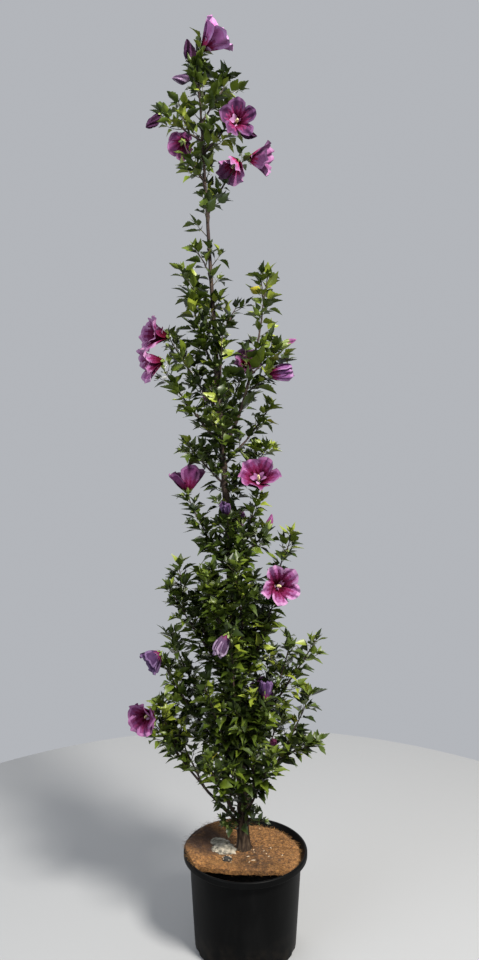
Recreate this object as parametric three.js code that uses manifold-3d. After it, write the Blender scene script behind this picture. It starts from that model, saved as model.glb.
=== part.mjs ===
// Rose of sharon (Hibiscus syriacus), grown as a slim, tall pillar in a black nursery pot.
// Millimetres, +Z up. The origin is the centre of the pot's flat underside; -Y is the front.
import * as THREE from 'three';
import { mergeVertices } from 'three/addons/utils/BufferGeometryUtils.js';
import Module from 'manifold-3d';

const wasm = await Module();
wasm.setup();

// ---------- driving dimensions ----------

const GAP = 0.3; // clearance between neighbouring solids
const UP = new THREE.Vector3(0, 0, 1);

const POT = {
  height: 270,
  rimRadius: 180,
  lipRadius: 168, // the inside of the rolled rim
  shoulderRadius: 164, // the wall's outside, just under the rim
  footRadius: 147,
  wall: 3,
  floor: 5,
  rimDepth: 18, // how far the rolled rim hangs down
  segments: 28,
  rounding: 3, // the rim's rounded edges
  heel: 4, // and the small bevel under the wall
  drains: 8,
  drainWidth: 26,
  drainHeight: 9,
  drainDepth: 16,
};
const SOIL_TOP = 246;
const MAT = {
  radius: 157,
  thickness: 12,
  frontCut: 105, // how far the straight front edge lies from the pot's axis
  hole: 32,
  slit: 4,
  curl: 29, // how far the left edge turns up, over the rim
  overhang: 15, // and how much further out it reaches there
  curlAzimuth: 160,
  fray: 1.2, // the waves of its edge
  waves: 9,
  segments: 26,
  rings: 3,
};
const STONE = { x: -71, y: 18, length: 84, width: 62, thickness: 22, turn: 105, bedded: 4 };

const TRUNK = {
  x: -4,
  y: 20,
  foot: SOIL_TOP + GAP,
  tip: 2480,
  footRadius: 15.5,
  tipRadius: 2.8,
  flare: 11, // extra radius at the root flare
  flareHeight: 38,
  lean: 44, // sideways travel per metre of height, at the foot
  bend: 7, // and how much more of it with each metre squared
  drift: 8, // how far it comes forward in each metre
  sway: 3, // the size of its slow waves, and how many radians of them lie in a metre
  waves: [3.1, 4.3],
  thinning: 0.9,
  sides: 7,
  rings: 20,
  crowding: 1.6, // the rings crowd together in the root flare
};
const LIMB = {
  tipRadius: 2.8,
  rootRadius: 3.2,
  radiusPerLength: 0.0075,
  arch: [0.52, 0.42], // where the knee of its line is, as shares of its reach and its rise
  sides: 5,
  rings: 4,
};
const TWIG = {
  radius: 1.7,
  tipRadius: 1.5,
  step: 150,
  slant: 46,
  turn: 30, // how many degrees it may stray round its stem
  lift: 0.15,
  shortening: 0.4, // how much shorter one at the stem's tip is than one at its root
  lengths: [84, 70, 84, 56, 70, 44],
};
const SPREAD = 98; // how far from its stem a mass may reach
const BORDER = 3.5; // the strip that two neighbouring masses leave free
const CLEAR_OF_WOOD = 2;
const CLEAR_OF_POT = 12;
const LEAF = {
  length: 84,
  width: 52,
  widest: 0.6, // the share of the length at which it is widest
  fold: 1, // how far its edges stand above its foot
  dip: 3, // and how far its tip hangs below it
  step: 19,
  apart: 13.5, // the least distance between two leaves, or a leaf and another's twig
  slant: 50,
  slantSpread: 24,
  turn: 40, // how many degrees it may stray round its twig
  endSlant: 12, // the slant of the leaf that ends a twig
  droop: 0.8,
  sunk: 0.2,
  stalk: 8, // the narrow part of it, which may pass close to wood
  stalkClear: 0.6,
  sizes: [1.1, 1, 0.9, 1, 0.8, 0.9, 0.7, 0.8, 0.65],
};
const BLOOM = {
  stalk: 8,
  overlap: 4, // how far the stalk goes into the bloom
  petal: 55,
  notch: 0.72,
  throat: 7,
  depth: 37,
  furled: 52,
  furledRadius: 11,
  bud: 25,
  budRadius: 7.5,
};

// Every limb leaves the trunk at a height, turns to an azimuth (0 is the right, 90 the back), and
// ends at its reach from the trunk and its rise above its root. The bare share of it is a bough,
// and the rest is the stem of a mass of foliage.
// A fork leaves the stem at a share of its length. A bloom faces an azimuth and an elevation.
// The leaf size is a share of the usual one.
const LIMBS = [
  // short shoots round the foot of the trunk
  { name: 'foot', height: 300, azimuth: 262, reach: 34, rise: 84, leafSize: 0.62, forks: [
    { at: 0.3, azimuth: 196, reach: 66, rise: 78 }, { at: 0.4, azimuth: 346, reach: 44, rise: 46 }] },
  // the lowest tier, on boughs that show
  { name: 'left_low', height: 318, azimuth: 186, reach: 262, rise: 318, bare: 0.3, forks: [
    { at: 0.12, azimuth: 192, reach: 112, rise: 78 }],
    blooms: [{ kind: 'open', at: 1, azimuth: 200, elevation: -8 }] },
  { name: 'front_left_low', height: 330, azimuth: 236, reach: 175, rise: 235, bare: 0.3 },
  { name: 'front_right_low', height: 345, azimuth: 300, reach: 160, rise: 240, bare: 0.3,
    blooms: [{ kind: 'bud', at: 1, azimuth: 320, elevation: 40, size: 1.2 }] },
  { name: 'right_low', height: 400, azimuth: 356, reach: 196, rise: 172, bare: 0.46, arch: [0.6, 0.85],
    forks: [{ at: 0.2, azimuth: 8, reach: 60, rise: 120 }] },
  { name: 'back_right_low', height: 350, azimuth: 48, reach: 175, rise: 260, bare: 0.3 },
  { name: 'back_low', height: 322, azimuth: 98, reach: 165, rise: 250,
    blooms: [{ kind: 'open', at: 1, azimuth: 80, elevation: 15 }] },
  { name: 'back_left_low', height: 372, azimuth: 146, reach: 190, rise: 250, bare: 0.3 },
  // the widest tier
  { name: 'left_middle', height: 478, azimuth: 184, reach: 232, rise: 330,
    blooms: [{ kind: 'open', at: 1, azimuth: 188, elevation: -4, size: 0.8 }] },
  { name: 'left_upright', height: 590, azimuth: 177, reach: 200, rise: 300, arch: [0.74, 0.36] },
  { name: 'front_left_middle', height: 470, azimuth: 226, reach: 150, rise: 300 },
  { name: 'front_middle', height: 525, azimuth: 258, reach: 140, rise: 390, forks: [
    { at: 0.3, azimuth: 318, reach: 66, rise: 92 }],
    blooms: [{ kind: 'furled', at: 1, azimuth: 200, elevation: -52 }] },
  { name: 'front_right_middle', height: 480, azimuth: 305, reach: 118, rise: 275, forks: [
    { at: 0.42, azimuth: 244, reach: 62, rise: 88 }],
    blooms: [{ kind: 'furled', at: 1, azimuth: 20, elevation: 50, size: 0.85 }] },
  { name: 'right_upright', height: 560, azimuth: 2, reach: 228, rise: 312 },
  { name: 'back_right_middle', height: 500, azimuth: 52, reach: 165, rise: 300,
    blooms: [{ kind: 'open', at: 1, azimuth: 50, elevation: 20 }] },
  { name: 'back_middle', height: 545, azimuth: 108, reach: 160, rise: 300,
    blooms: [{ kind: 'furled', at: 1, azimuth: 100, elevation: 50 }] },
  // the shoulder of the lower crown
  { name: 'left_high', height: 730, azimuth: 185, reach: 200, rise: 300 },
  { name: 'front_left_high', height: 690, azimuth: 238, reach: 112, rise: 300 },
  { name: 'front_high', height: 752, azimuth: 284, reach: 88, rise: 272 },
  { name: 'front_right_high', height: 716, azimuth: 337, reach: 128, rise: 315,
    blooms: [{ kind: 'open', at: 1, azimuth: 296, elevation: 4, size: 1.08 }] },
  { name: 'right_high', height: 800, azimuth: 7, reach: 165, rise: 375 },
  { name: 'back_right_high', height: 738, azimuth: 62, reach: 112, rise: 300 },
  { name: 'back_left_high', height: 712, azimuth: 126, reach: 118, rise: 320,
    blooms: [{ kind: 'open', at: 1, azimuth: 135, elevation: 10 }] },
  // the narrow waist
  { name: 'left_flower_shoot', height: 1060, azimuth: 183, reach: 128, rise: 240,
    blooms: [{ kind: 'open', at: 1, azimuth: 150, elevation: 52, size: 0.9 }] },
  { name: 'right_flower_shoot', height: 1040, azimuth: 350, reach: 82, rise: 275,
    forks: [{ at: 0.3, azimuth: 6, reach: 74, rise: 86 }],
    blooms: [{ kind: 'open', at: 1, azimuth: 285, elevation: 38 },
      { kind: 'bud', fork: 0, at: 1, azimuth: 20, elevation: 70 }] },
  { name: 'front_waist', height: 1090, azimuth: 262, reach: 58, rise: 148,
    blooms: [{ kind: 'furled', at: 1, azimuth: 270, elevation: 62, size: 0.75 }] },
  { name: 'back_waist', height: 1040, azimuth: 88, reach: 82, rise: 240,
    blooms: [{ kind: 'open', at: 1, azimuth: 70, elevation: 30 }] },
  // the middle crown
  { name: 'left_lower_mid', height: 1330, azimuth: 188, reach: 112, rise: 118 },
  { name: 'left_flower_mid', height: 1445, azimuth: 182, reach: 170, rise: 218,
    blooms: [{ kind: 'open', at: 1, azimuth: 195, elevation: -22 }] },
  { name: 'left_upper_mid', height: 1540, azimuth: 177, reach: 152, rise: 228,
    blooms: [{ kind: 'open', at: 1, azimuth: 190, elevation: 5 }] },
  { name: 'left_spire', height: 1660, azimuth: 192, reach: 72, rise: 220, arch: [0.8, 0.4] },
  { name: 'right_leader', height: 1440, azimuth: 350, reach: 134, rise: 477, bare: 0.2,
    arch: [0.62, 0.2],
    forks: [{ at: 0.16, azimuth: 345, reach: 62, rise: 54 }, { at: 0.3, azimuth: 8, reach: 96, rise: 66 }],
    blooms: [{ kind: 'furled', fork: 0, at: 1, azimuth: 352, elevation: 6 },
      { kind: 'bud', fork: 1, at: 1, azimuth: 8, elevation: 22, size: 1.3 }] },
  { name: 'right_lower_mid', height: 1300, azimuth: 357, reach: 120, rise: 132 },
  { name: 'right_mid', height: 1385, azimuth: 16, reach: 145, rise: 180 },
  { name: 'front_mid', height: 1370, azimuth: 262, reach: 84, rise: 205 },
  { name: 'front_upper_mid', height: 1570, azimuth: 280, reach: 66, rise: 205 },
  { name: 'back_right_mid', height: 1470, azimuth: 50, reach: 98, rise: 215,
    blooms: [{ kind: 'open', at: 1, azimuth: 285, elevation: 15, size: 0.9 }] },
  { name: 'back_mid', height: 1390, azimuth: 105, reach: 96, rise: 230,
    blooms: [{ kind: 'open', at: 1, azimuth: 95, elevation: 10 }] },
  // the thin stretch
  { name: 'right_thin', height: 1750, azimuth: 5, reach: 62, rise: 100, leafSize: 0.85 },
  { name: 'left_thin', height: 1950, azimuth: 186, reach: 38, rise: 60, leafSize: 0.85 },
  // the tuft at the top
  { name: 'right_top_low', height: 2118, azimuth: 357, reach: 116, rise: 168, leafSize: 0.85,
    arch: [0.42, 0.66],
    blooms: [{ kind: 'open', at: 1, azimuth: 358, elevation: -8, size: 0.9 },
      { kind: 'open', at: 0.84, azimuth: 248, elevation: -36, size: 0.9 }] },
  { name: 'left_top', height: 2210, azimuth: 190, reach: 66, rise: 122, leafSize: 0.85,
    forks: [{ at: 0.1, azimuth: 222, reach: 34, rise: 30 }],
    blooms: [{ kind: 'open', at: 1, azimuth: 140, elevation: -30, size: 0.9 }] },
  { name: 'back_top', height: 2230, azimuth: 92, reach: 62, rise: 160, leafSize: 0.85,
    blooms: [{ kind: 'open', at: 1, azimuth: 85, elevation: 25 }] },
  { name: 'right_top', height: 2296, azimuth: 336, reach: 104, rise: 98, leafSize: 0.85,
    blooms: [{ kind: 'open', at: 1, azimuth: 283, elevation: 6, size: 1.02 },
      { kind: 'furled', at: 0.93, azimuth: 352, elevation: -38, size: 0.75 }] },
  { name: 'left_top_high', height: 2335, azimuth: 181, reach: 122, rise: 84, leafSize: 0.85,
    blooms: [{ kind: 'furled', at: 1, azimuth: 190, elevation: -38, size: 0.9 }] },
  { name: 'right_top_high', height: 2390, azimuth: 3, reach: 72, rise: 118, leafSize: 0.85 },
  { name: 'tip', height: TRUNK.tip, azimuth: 150, reach: 12, rise: 150, leafSize: 0.72, onTip: true,
    forks: [{ at: 0, azimuth: 184, reach: 30, rise: 26 }, { at: 0.42, azimuth: 0, reach: 24, rise: 100 },
      { at: 0.32, azimuth: 186, reach: 15, rise: 42 }],
    blooms: [{ kind: 'furled', fork: 0, at: 1, azimuth: 184, elevation: 4, size: 0.7 },
      { kind: 'open', fork: 1, at: 1, azimuth: 356, elevation: 36 },
      { kind: 'furled', fork: 2, at: 1, azimuth: 190, elevation: 74, size: 0.95 }] },
];

// ---------- helpers ----------

// A small seeded random generator, so that the plant grows the same way each time.
function seeded(seed) {
  let state = seed >>> 0;
  return () => {
    state = (state + 0x6d2b79f5) >>> 0;
    let t = state;
    t = Math.imul(t ^ (t >>> 15), t | 1);
    t ^= t + Math.imul(t ^ (t >>> 7), t | 61);
    return ((t ^ (t >>> 14)) >>> 0) / 4294967296;
  };
}

function direction(azimuth, elevation = 0) {
  const a = THREE.MathUtils.degToRad(azimuth);
  const e = THREE.MathUtils.degToRad(elevation);
  return new THREE.Vector3(Math.cos(a) * Math.cos(e), Math.sin(a) * Math.cos(e), Math.sin(e));
}

function across(v) {
  const side = new THREE.Vector3().crossVectors(v, UP);
  return side.length() < 1e-3 ? new THREE.Vector3(1, 0, 0) : side.normalize();
}

function moved(point, along, distance) {
  return point.clone().addScaledVector(along, distance);
}

// A closed geometry as a solid that can be joined and cut.
function solidOf(geometry) {
  const bare = geometry.index ? geometry.toNonIndexed() : geometry.clone();
  bare.deleteAttribute('normal');
  bare.deleteAttribute('uv');
  const merged = mergeVertices(bare, 1e-3);
  return new wasm.Manifold(new wasm.Mesh({
    numProp: 3,
    vertProperties: merged.attributes.position.array,
    triVerts: new Uint32Array(merged.index.array),
  }));
}

// The largest closed body of a solid. Loose scraps and sealed hollows are dropped.
function largestBody(solid) {
  return solid.decompose().reduce((best, body) => (body.volume() > best.volume() ? body : best));
}

function geometryOf(solid) {
  const mesh = solid.getMesh();
  const positions = new Float32Array(mesh.numVert * 3);
  for (let i = 0; i < mesh.numVert; i++) {
    positions.set(mesh.vertProperties.subarray(i * mesh.numProp, i * mesh.numProp + 3), i * 3);
  }
  const geometry = new THREE.BufferGeometry();
  geometry.setAttribute('position', new THREE.BufferAttribute(positions, 3));
  geometry.setIndex(new THREE.BufferAttribute(new Uint32Array(mesh.triVerts), 1));
  geometry.computeVertexNormals();
  return geometry;
}

// Sets the rings of a cylinder at places along a line: placeAt(share) gives each ring's centre,
// radius and heading, and side is the direction that stays level in all of them.
function sweep(sides, rings, side, placeAt) {
  const geometry = new THREE.CylinderGeometry(1, 1, 1, sides, rings);
  const positions = geometry.getAttribute('position');
  for (let i = 0; i < positions.count; i++) {
    const { centre, radius, heading } = placeAt(positions.getY(i) + 0.5);
    const normal = new THREE.Vector3().crossVectors(heading, side);
    const vertex = centre.clone()
      .addScaledVector(normal, positions.getX(i) * radius)
      .addScaledVector(side, positions.getZ(i) * radius);
    positions.setXYZ(i, vertex.x, vertex.y, vertex.z);
  }
  return solidOf(geometry);
}

// ---------- trunk and limbs ----------

function trunkAt(z) {
  const s = (z - TRUNK.foot) / 1000;
  return new THREE.Vector3(
    TRUNK.x - TRUNK.lean * s - TRUNK.bend * s * s + TRUNK.sway * Math.sin(TRUNK.waves[0] * s),
    TRUNK.y - TRUNK.drift * s + TRUNK.sway * Math.sin(TRUNK.waves[1] * s),
    z,
  );
}

function trunkRadius(z) {
  const share = (z - TRUNK.foot) / (TRUNK.tip - TRUNK.foot);
  const taper = THREE.MathUtils.lerp(TRUNK.footRadius, TRUNK.tipRadius, Math.pow(share, TRUNK.thinning));
  return taper + TRUNK.flare * Math.exp(-(z - TRUNK.foot) / TRUNK.flareHeight);
}

// The trunk, or a sleeve that is grown all round it.
function trunkSolid(grown = 0) {
  return sweep(TRUNK.sides, TRUNK.rings, new THREE.Vector3(0, -1, 0), (share) => {
    const z = THREE.MathUtils.lerp(TRUNK.foot, TRUNK.tip + grown, Math.pow(share, TRUNK.crowding));
    return { centre: trunkAt(z), radius: trunkRadius(z) + grown, heading: UP };
  });
}

// The line of a limb or a fork: it sets off at a slant and arches upwards.
function archedLine(root, azimuth, reach, rise, arch = LIMB.arch) {
  const out = direction(azimuth);
  const knee = moved(moved(root, out, reach * arch[0]), UP, rise * arch[1]);
  const end = moved(moved(root, out, reach), UP, rise);
  return new THREE.QuadraticBezierCurve3(root, knee, end);
}

function limbLine(limb) {
  return archedLine(trunkAt(limb.height), limb.azimuth, limb.reach, limb.rise, limb.arch);
}

function limbRadius(line, share) {
  const root = LIMB.rootRadius + LIMB.radiusPerLength * line.getLength();
  return THREE.MathUtils.lerp(root, LIMB.tipRadius, share);
}

// The stretch of a line between two shares of its length, as a tapering solid.
function stretch(line, from, to, radiusAt, sides, rings) {
  const side = across(line.getPoint(1).sub(line.getPoint(0)));
  return sweep(sides, rings, side, (share) => {
    const along = THREE.MathUtils.lerp(from, to, share);
    const heading = line.getTangentAt(along);
    return { centre: line.getPointAt(along), radius: radiusAt(along), heading };
  });
}

// ---------- the space of each mass ----------

const SAMPLES = 8;

function pointsAlong(line, from, to = 1) {
  const shares = Array.from({ length: SAMPLES + 1 }, (_, i) => THREE.MathUtils.lerp(from, to, i / SAMPLES));
  return shares.map((share) => line.getPointAt(share));
}

function forkLines(limb) {
  const stem = limbLine(limb);
  const bare = limb.bare ?? 0;
  return (limb.forks ?? []).map((fork) =>
    archedLine(stem.getPointAt(bare + fork.at * (1 - bare)), fork.azimuth, fork.reach, fork.rise));
}

// Each mass as the rows of points along its stem and its forks.
const SPINES = LIMBS.map((limb) => [
  pointsAlong(limbLine(limb), limb.bare ?? 0),
  ...forkLines(limb).map((line) => pointsAlong(line, 0)),
]);

const segment = new THREE.Line3();
const nearest = new THREE.Vector3();

function distanceToRow(row, point) {
  let least = Infinity;
  for (let i = 0; i < row.length - 1; i++) {
    segment.set(row[i], row[i + 1]).closestPointToPoint(point, true, nearest);
    least = Math.min(least, nearest.distanceTo(point));
  }
  return least;
}

function distanceToMass(rows, point) {
  return Math.min(...rows.map((row) => distanceToRow(row, point)));
}

// A point is in a mass's own space if it is near the mass's stem, and nearer to it than to any other.
function inOwnSpace(index, point) {
  const own = distanceToMass(SPINES[index], point);
  if (own > SPREAD) return false;
  return SPINES.every((rows, other) => other === index || distanceToMass(rows, point) > own + BORDER);
}

const BOUGHS = LIMBS.filter((limb) => limb.bare).map((limb) => {
  const line = limbLine(limb);
  return { row: pointsAlong(line, 0, limb.bare), radius: limbRadius(line, 0) };
});

function clearOfWood(point, margin = CLEAR_OF_WOOD) {
  const z = THREE.MathUtils.clamp(point.z, TRUNK.foot, TRUNK.tip);
  if (point.distanceTo(trunkAt(z)) < trunkRadius(z) + margin) return false;
  return BOUGHS.every(({ row, radius }) => distanceToRow(row, point) > radius + margin);
}

function clearOfPot(point) {
  return point.z > POT.height + CLEAR_OF_POT;
}

// ---------- leaves, twigs and blooms ----------

// A leaf is a thin diamond, folded along its middle. Its pointed foot is sunk in its twig.
function leafCorners(leaf) {
  const side = new THREE.Vector3().crossVectors(leaf.heading, leaf.face).normalize();
  const face = new THREE.Vector3().crossVectors(side, leaf.heading).normalize();
  const middle = moved(moved(leaf.foot, leaf.heading, leaf.length * LEAF.widest), face, LEAF.fold);
  return {
    foot: moved(leaf.foot, leaf.heading, -LEAF.sunk),
    tip: moved(moved(leaf.foot, leaf.heading, leaf.length), face, -LEAF.dip),
    left: moved(middle, side, -leaf.width / 2),
    right: moved(middle, side, leaf.width / 2),
  };
}

function leafSolid(leaf) {
  const { foot, right, tip, left } = leafCorners(leaf);
  const geometry = new THREE.BufferGeometry().setFromPoints([foot, right, tip, left]);
  geometry.setIndex([0, 1, 3, 1, 2, 3, 0, 2, 1, 0, 3, 2]);
  return solidOf(geometry);
}

function leafPoints(leaf) {
  const { foot, right, tip, left } = leafCorners(leaf);
  const half = (from, to) => from.clone().lerp(to, 0.5);
  const middle = half(left, right);
  return [tip, left, right, middle, half(tip, left), half(tip, right), half(foot, middle)];
}

function isRoomFor(index, point) {
  return inOwnSpace(index, point) && clearOfWood(point) && clearOfPot(point) && clearOfBlooms(point);
}

function leafFits(index, leaf, points) {
  const stalk = moved(leaf.foot, leaf.heading, LEAF.stalk);
  return clearOfWood(stalk, LEAF.stalkClear) && points.every((point) => isRoomFor(index, point));
}

// The direction that leaves a three-sided line at a slant, out of the middle of one of its sides.
function branching(tangent, rank, slant, turn = 0) {
  const side = across(tangent);
  const face = new THREE.Vector3().crossVectors(side, tangent);
  const angle = THREE.MathUtils.degToRad(60 + 120 * rank + turn);
  const radial = side.multiplyScalar(Math.cos(angle)).addScaledVector(face, Math.sin(angle));
  const s = THREE.MathUtils.degToRad(slant);
  return tangent.clone().multiplyScalar(Math.cos(s)).addScaledVector(radial, Math.sin(s)).normalize();
}

// Points along every twig and on every leaf so far, with the line that each leaf grows on.
const TAKEN = [];

function isFree(points, ownLine) {
  return points.every((point) =>
    TAKEN.every((other) => other.line === ownLine || other.point.distanceTo(point) > LEAF.apart));
}

function take(points, line) {
  TAKEN.push(...points.map((point) => ({ point, line })));
}

// The level direction away from the trunk.
function outwards(point) {
  return point.clone().sub(trunkAt(point.z)).setZ(0).normalize();
}

// Leaves stand alternately round a line, and one ends it. A leaf that would leave the mass's space
// or crowd another leaf is turned and made smaller a few times, and then skipped.
function leavesAlong(index, line, from, random) {
  const { leafSize = 1 } = LIMBS[index];
  const count = Math.max(2, Math.round((line.getLength() * (1 - from)) / LEAF.step));
  const first = Math.floor(3 * random());
  const leaves = [];
  for (let i = 0; i <= count; i++) {
    const share = i ? THREE.MathUtils.lerp(from, 1, (i - 0.5) / count) : 0.97;
    const tangent = line.getTangentAt(share);
    for (const [attempt, size] of LEAF.sizes.entries()) {
      const slant = i ? LEAF.slant + LEAF.slantSpread * random() : LEAF.endSlant;
      const heading = branching(tangent, first + i + attempt, slant, LEAF.turn * (random() - 0.5));
      heading.z -= LEAF.droop * random();
      const leaf = {
        foot: line.getPointAt(share),
        heading: heading.normalize(),
        face: outwards(line.getPointAt(share)).add(new THREE.Vector3(random() - 0.5, random() - 0.5, 0.7)),
        length: LEAF.length * size * leafSize,
        width: LEAF.width * size * leafSize,
      };
      const points = leafPoints(leaf);
      if (!isFree(points, line) || !isFree(points, points) || !leafFits(index, leaf, points)) continue;
      take(points, points);
      leaves.push(leaf);
      break;
    }
  }
  return leaves;
}

const TWIG_SHARES = [0.3, 0.45, 0.6, 0.75, 0.9, 1];

// Side twigs stand round the stem too, shorter towards its tip, and as long as the space allows.
function twigsAlong(index, line, from, random) {
  const count = Math.round((line.getLength() * (1 - from)) / TWIG.step);
  const first = Math.floor(3 * random());
  const twigs = [];
  for (let i = 0; i < count; i++) {
    const share = THREE.MathUtils.lerp(from, 1, (i + 0.35) / count);
    const root = line.getPointAt(share);
    for (const [attempt, length] of TWIG.lengths.entries()) {
      const turn = TWIG.turn * (random() - 0.5);
      const heading = branching(line.getTangentAt(share), first + i + attempt, TWIG.slant, turn);
      heading.z += TWIG.lift;
      const end = moved(root, heading.normalize(), length * (1 - TWIG.shortening * share));
      const twig = new THREE.LineCurve3(root, end);
      const points = TWIG_SHARES.map((along) => twig.getPoint(along));
      if (!points.every((point) => isRoomFor(index, point)) || !isFree(points, line)) continue;
      take(points, twig);
      twigs.push(twig);
      break;
    }
  }
  return twigs;
}

function twigSolid(line) {
  return stretch(line, 0, 1, (share) => THREE.MathUtils.lerp(TWIG.radius, TWIG.tipRadius, share), 3, 1);
}

// A turned shape about +Y, in which shapeOf may move the points of the profile in each column.
function turned(profile, segments, scale, shapeOf = (r, h) => [r, h]) {
  const geometry = new THREE.LatheGeometry(profile.map(([r, h]) => new THREE.Vector2(r, h)), segments);
  const positions = geometry.getAttribute('position');
  for (let i = 0; i < positions.count; i++) {
    const column = Math.floor(i / profile.length) % segments;
    const [r, h] = shapeOf(...profile[i % profile.length], column);
    const angle = (column / segments) * 2 * Math.PI;
    positions.setXYZ(i, Math.sin(angle) * r * scale, h * scale, Math.cos(angle) * r * scale);
  }
  return solidOf(geometry);
}

// An open bloom is a five-petalled trumpet, notched between its petals.
function openBloom(scale) {
  const { petal, notch, depth, throat } = BLOOM;
  const profile = [[0, 0], [throat, 0], [petal, depth], [0, depth / 2]];
  const isBetweenPetals = (r, column) => r === petal && column % 2 === 1;
  return turned(profile, 10, scale, (r, h, column) => [isBetweenPetals(r, column) ? r * notch : r, h]);
}

function furledBloom(scale) {
  const { furled, furledRadius } = BLOOM;
  return turned([[0, 0], [furledRadius * 0.6, 0], [furledRadius, furled * 0.36], [0, furled]], 5, scale);
}

function budBloom(scale) {
  const { bud, budRadius } = BLOOM;
  return turned([[0, 0], [budRadius * 0.7, 0], [budRadius, bud * 0.4], [0, bud]], 5, scale);
}

const BLOOM_MAKERS = { open: openBloom, furled: furledBloom, bud: budBloom };

// A bloom on its short stalk, turned from +Y to the way that it faces.
function bloomParts(bloom, lines) {
  const line = bloom.fork === undefined ? lines[0] : lines[1 + bloom.fork];
  const facing = direction(bloom.azimuth, bloom.elevation);
  const root = line.getPointAt(Math.min(bloom.at, 0.98));
  const seat = moved(root, facing, BLOOM.stalk);
  const turn = new THREE.Quaternion().setFromUnitVectors(new THREE.Vector3(0, 1, 0), facing);
  const place = new THREE.Matrix4().compose(seat, turn, new THREE.Vector3(1, 1, 1));
  return [
    twigSolid(new THREE.LineCurve3(root, moved(seat, facing, BLOOM.overlap))),
    BLOOM_MAKERS[bloom.kind](bloom.size ?? 1).transform(place.elements),
  ];
}

// Where a bloom is, no leaf stands.
function bloomSpace(bloom, lines) {
  const line = bloom.fork === undefined ? lines[0] : lines[1 + bloom.fork];
  const facing = direction(bloom.azimuth, bloom.elevation);
  const size = bloom.size ?? 1;
  const radius = (bloom.kind === 'open' ? BLOOM.petal : BLOOM.furledRadius * 1.8) * size;
  const ahead = (bloom.kind === 'open' ? BLOOM.depth * 0.8 : BLOOM.furled * 0.5) * size;
  return { centre: moved(line.getPointAt(bloom.at), facing, BLOOM.stalk + ahead), radius };
}

const BLOOM_SPACES = LIMBS.map((limb) => {
  const lines = [limbLine(limb), ...forkLines(limb)];
  return (limb.blooms ?? []).map((bloom) => bloomSpace(bloom, lines));
});

function clearOfBlooms(point) {
  return BLOOM_SPACES.flat().every(({ centre, radius }) => point.distanceTo(centre) > radius);
}

// ---------- masses of foliage ----------

// One stem with its forks, side twigs, leaves and blooms, joined into one body.
function foliageMass(limb, index, sleeve) {
  const random = seeded(101 + 37 * index);
  const stem = limbLine(limb);
  const forks = forkLines(limb);
  const start = limb.bare ? limb.bare + GAP / stem.getLength() : 0;
  const parts = [stretch(stem, start, 1, (share) => limbRadius(stem, share), 3, 3)];
  forks.forEach((line) => parts.push(stretch(line, 0, 1, (share) => limbRadius(line, share) * 0.85, 3, 2)));
  const mains = [[stem, Math.max(start, limb.onTip ? 0 : 0.1)], ...forks.map((line) => [line, 0.15])];
  const twigs = mains.flatMap(([line, from]) => twigsAlong(index, line, from, random));
  parts.push(...twigs.map(twigSolid));
  for (const [line, from] of [...twigs.map((twig) => [twig, 0.3]), ...mains]) {
    parts.push(...leavesAlong(index, line, from, random).map(leafSolid));
  }
  for (const bloom of limb.blooms ?? []) parts.push(...bloomParts(bloom, [stem, ...forks]));
  const joined = wasm.Manifold.union(parts);
  return largestBody(limb.bare ? joined : joined.subtract(sleeve));
}

// ---------- pot, soil, mat and stone ----------

function wallRadius(z) {
  return THREE.MathUtils.lerp(POT.footRadius, POT.shoulderRadius, z / POT.height);
}

function lathe(profile, segments = POT.segments) {
  const points = profile.map(([r, z]) => new THREE.Vector2(r, z));
  return new THREE.LatheGeometry(points, segments).rotateX(Math.PI / 2);
}

// The pot is one thin shell with a rolled rim, and has drain holes round the corner of its floor.
function potSolid() {
  const { height, rimRadius, lipRadius, wall, floor, rounding, heel, footRadius, drains } = POT;
  const under = height - POT.rimDepth;
  const profile = [
    [0, 0],
    [footRadius - heel, 0],
    [footRadius, heel],
    [wallRadius(under), under],
    [rimRadius - rounding, under],
    [rimRadius, under + rounding],
    [rimRadius, height - rounding],
    [rimRadius - rounding, height],
    [lipRadius, height],
    [wallRadius(under) - wall, under],
    [wallRadius(floor) - wall, floor],
    [0, floor],
  ];
  let pot = solidOf(lathe(profile));
  for (let i = 0; i < drains; i++) {
    const hole = new THREE.BoxGeometry(POT.drainDepth, POT.drainWidth, POT.drainHeight)
      .translate(footRadius - wall, 0, POT.drainHeight / 2 - 1)
      .rotateZ(((i + 0.5) / drains) * 2 * Math.PI);
    pot = pot.subtract(solidOf(hole));
  }
  return pot;
}

function soilSolid() {
  const inner = (z) => wallRadius(z) - POT.wall - 2 * GAP;
  const low = POT.floor + GAP;
  return solidOf(lathe([[0, low], [inner(low), low], [inner(SOIL_TOP), SOIL_TOP], [0, SOIL_TOP]]));
}

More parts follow.
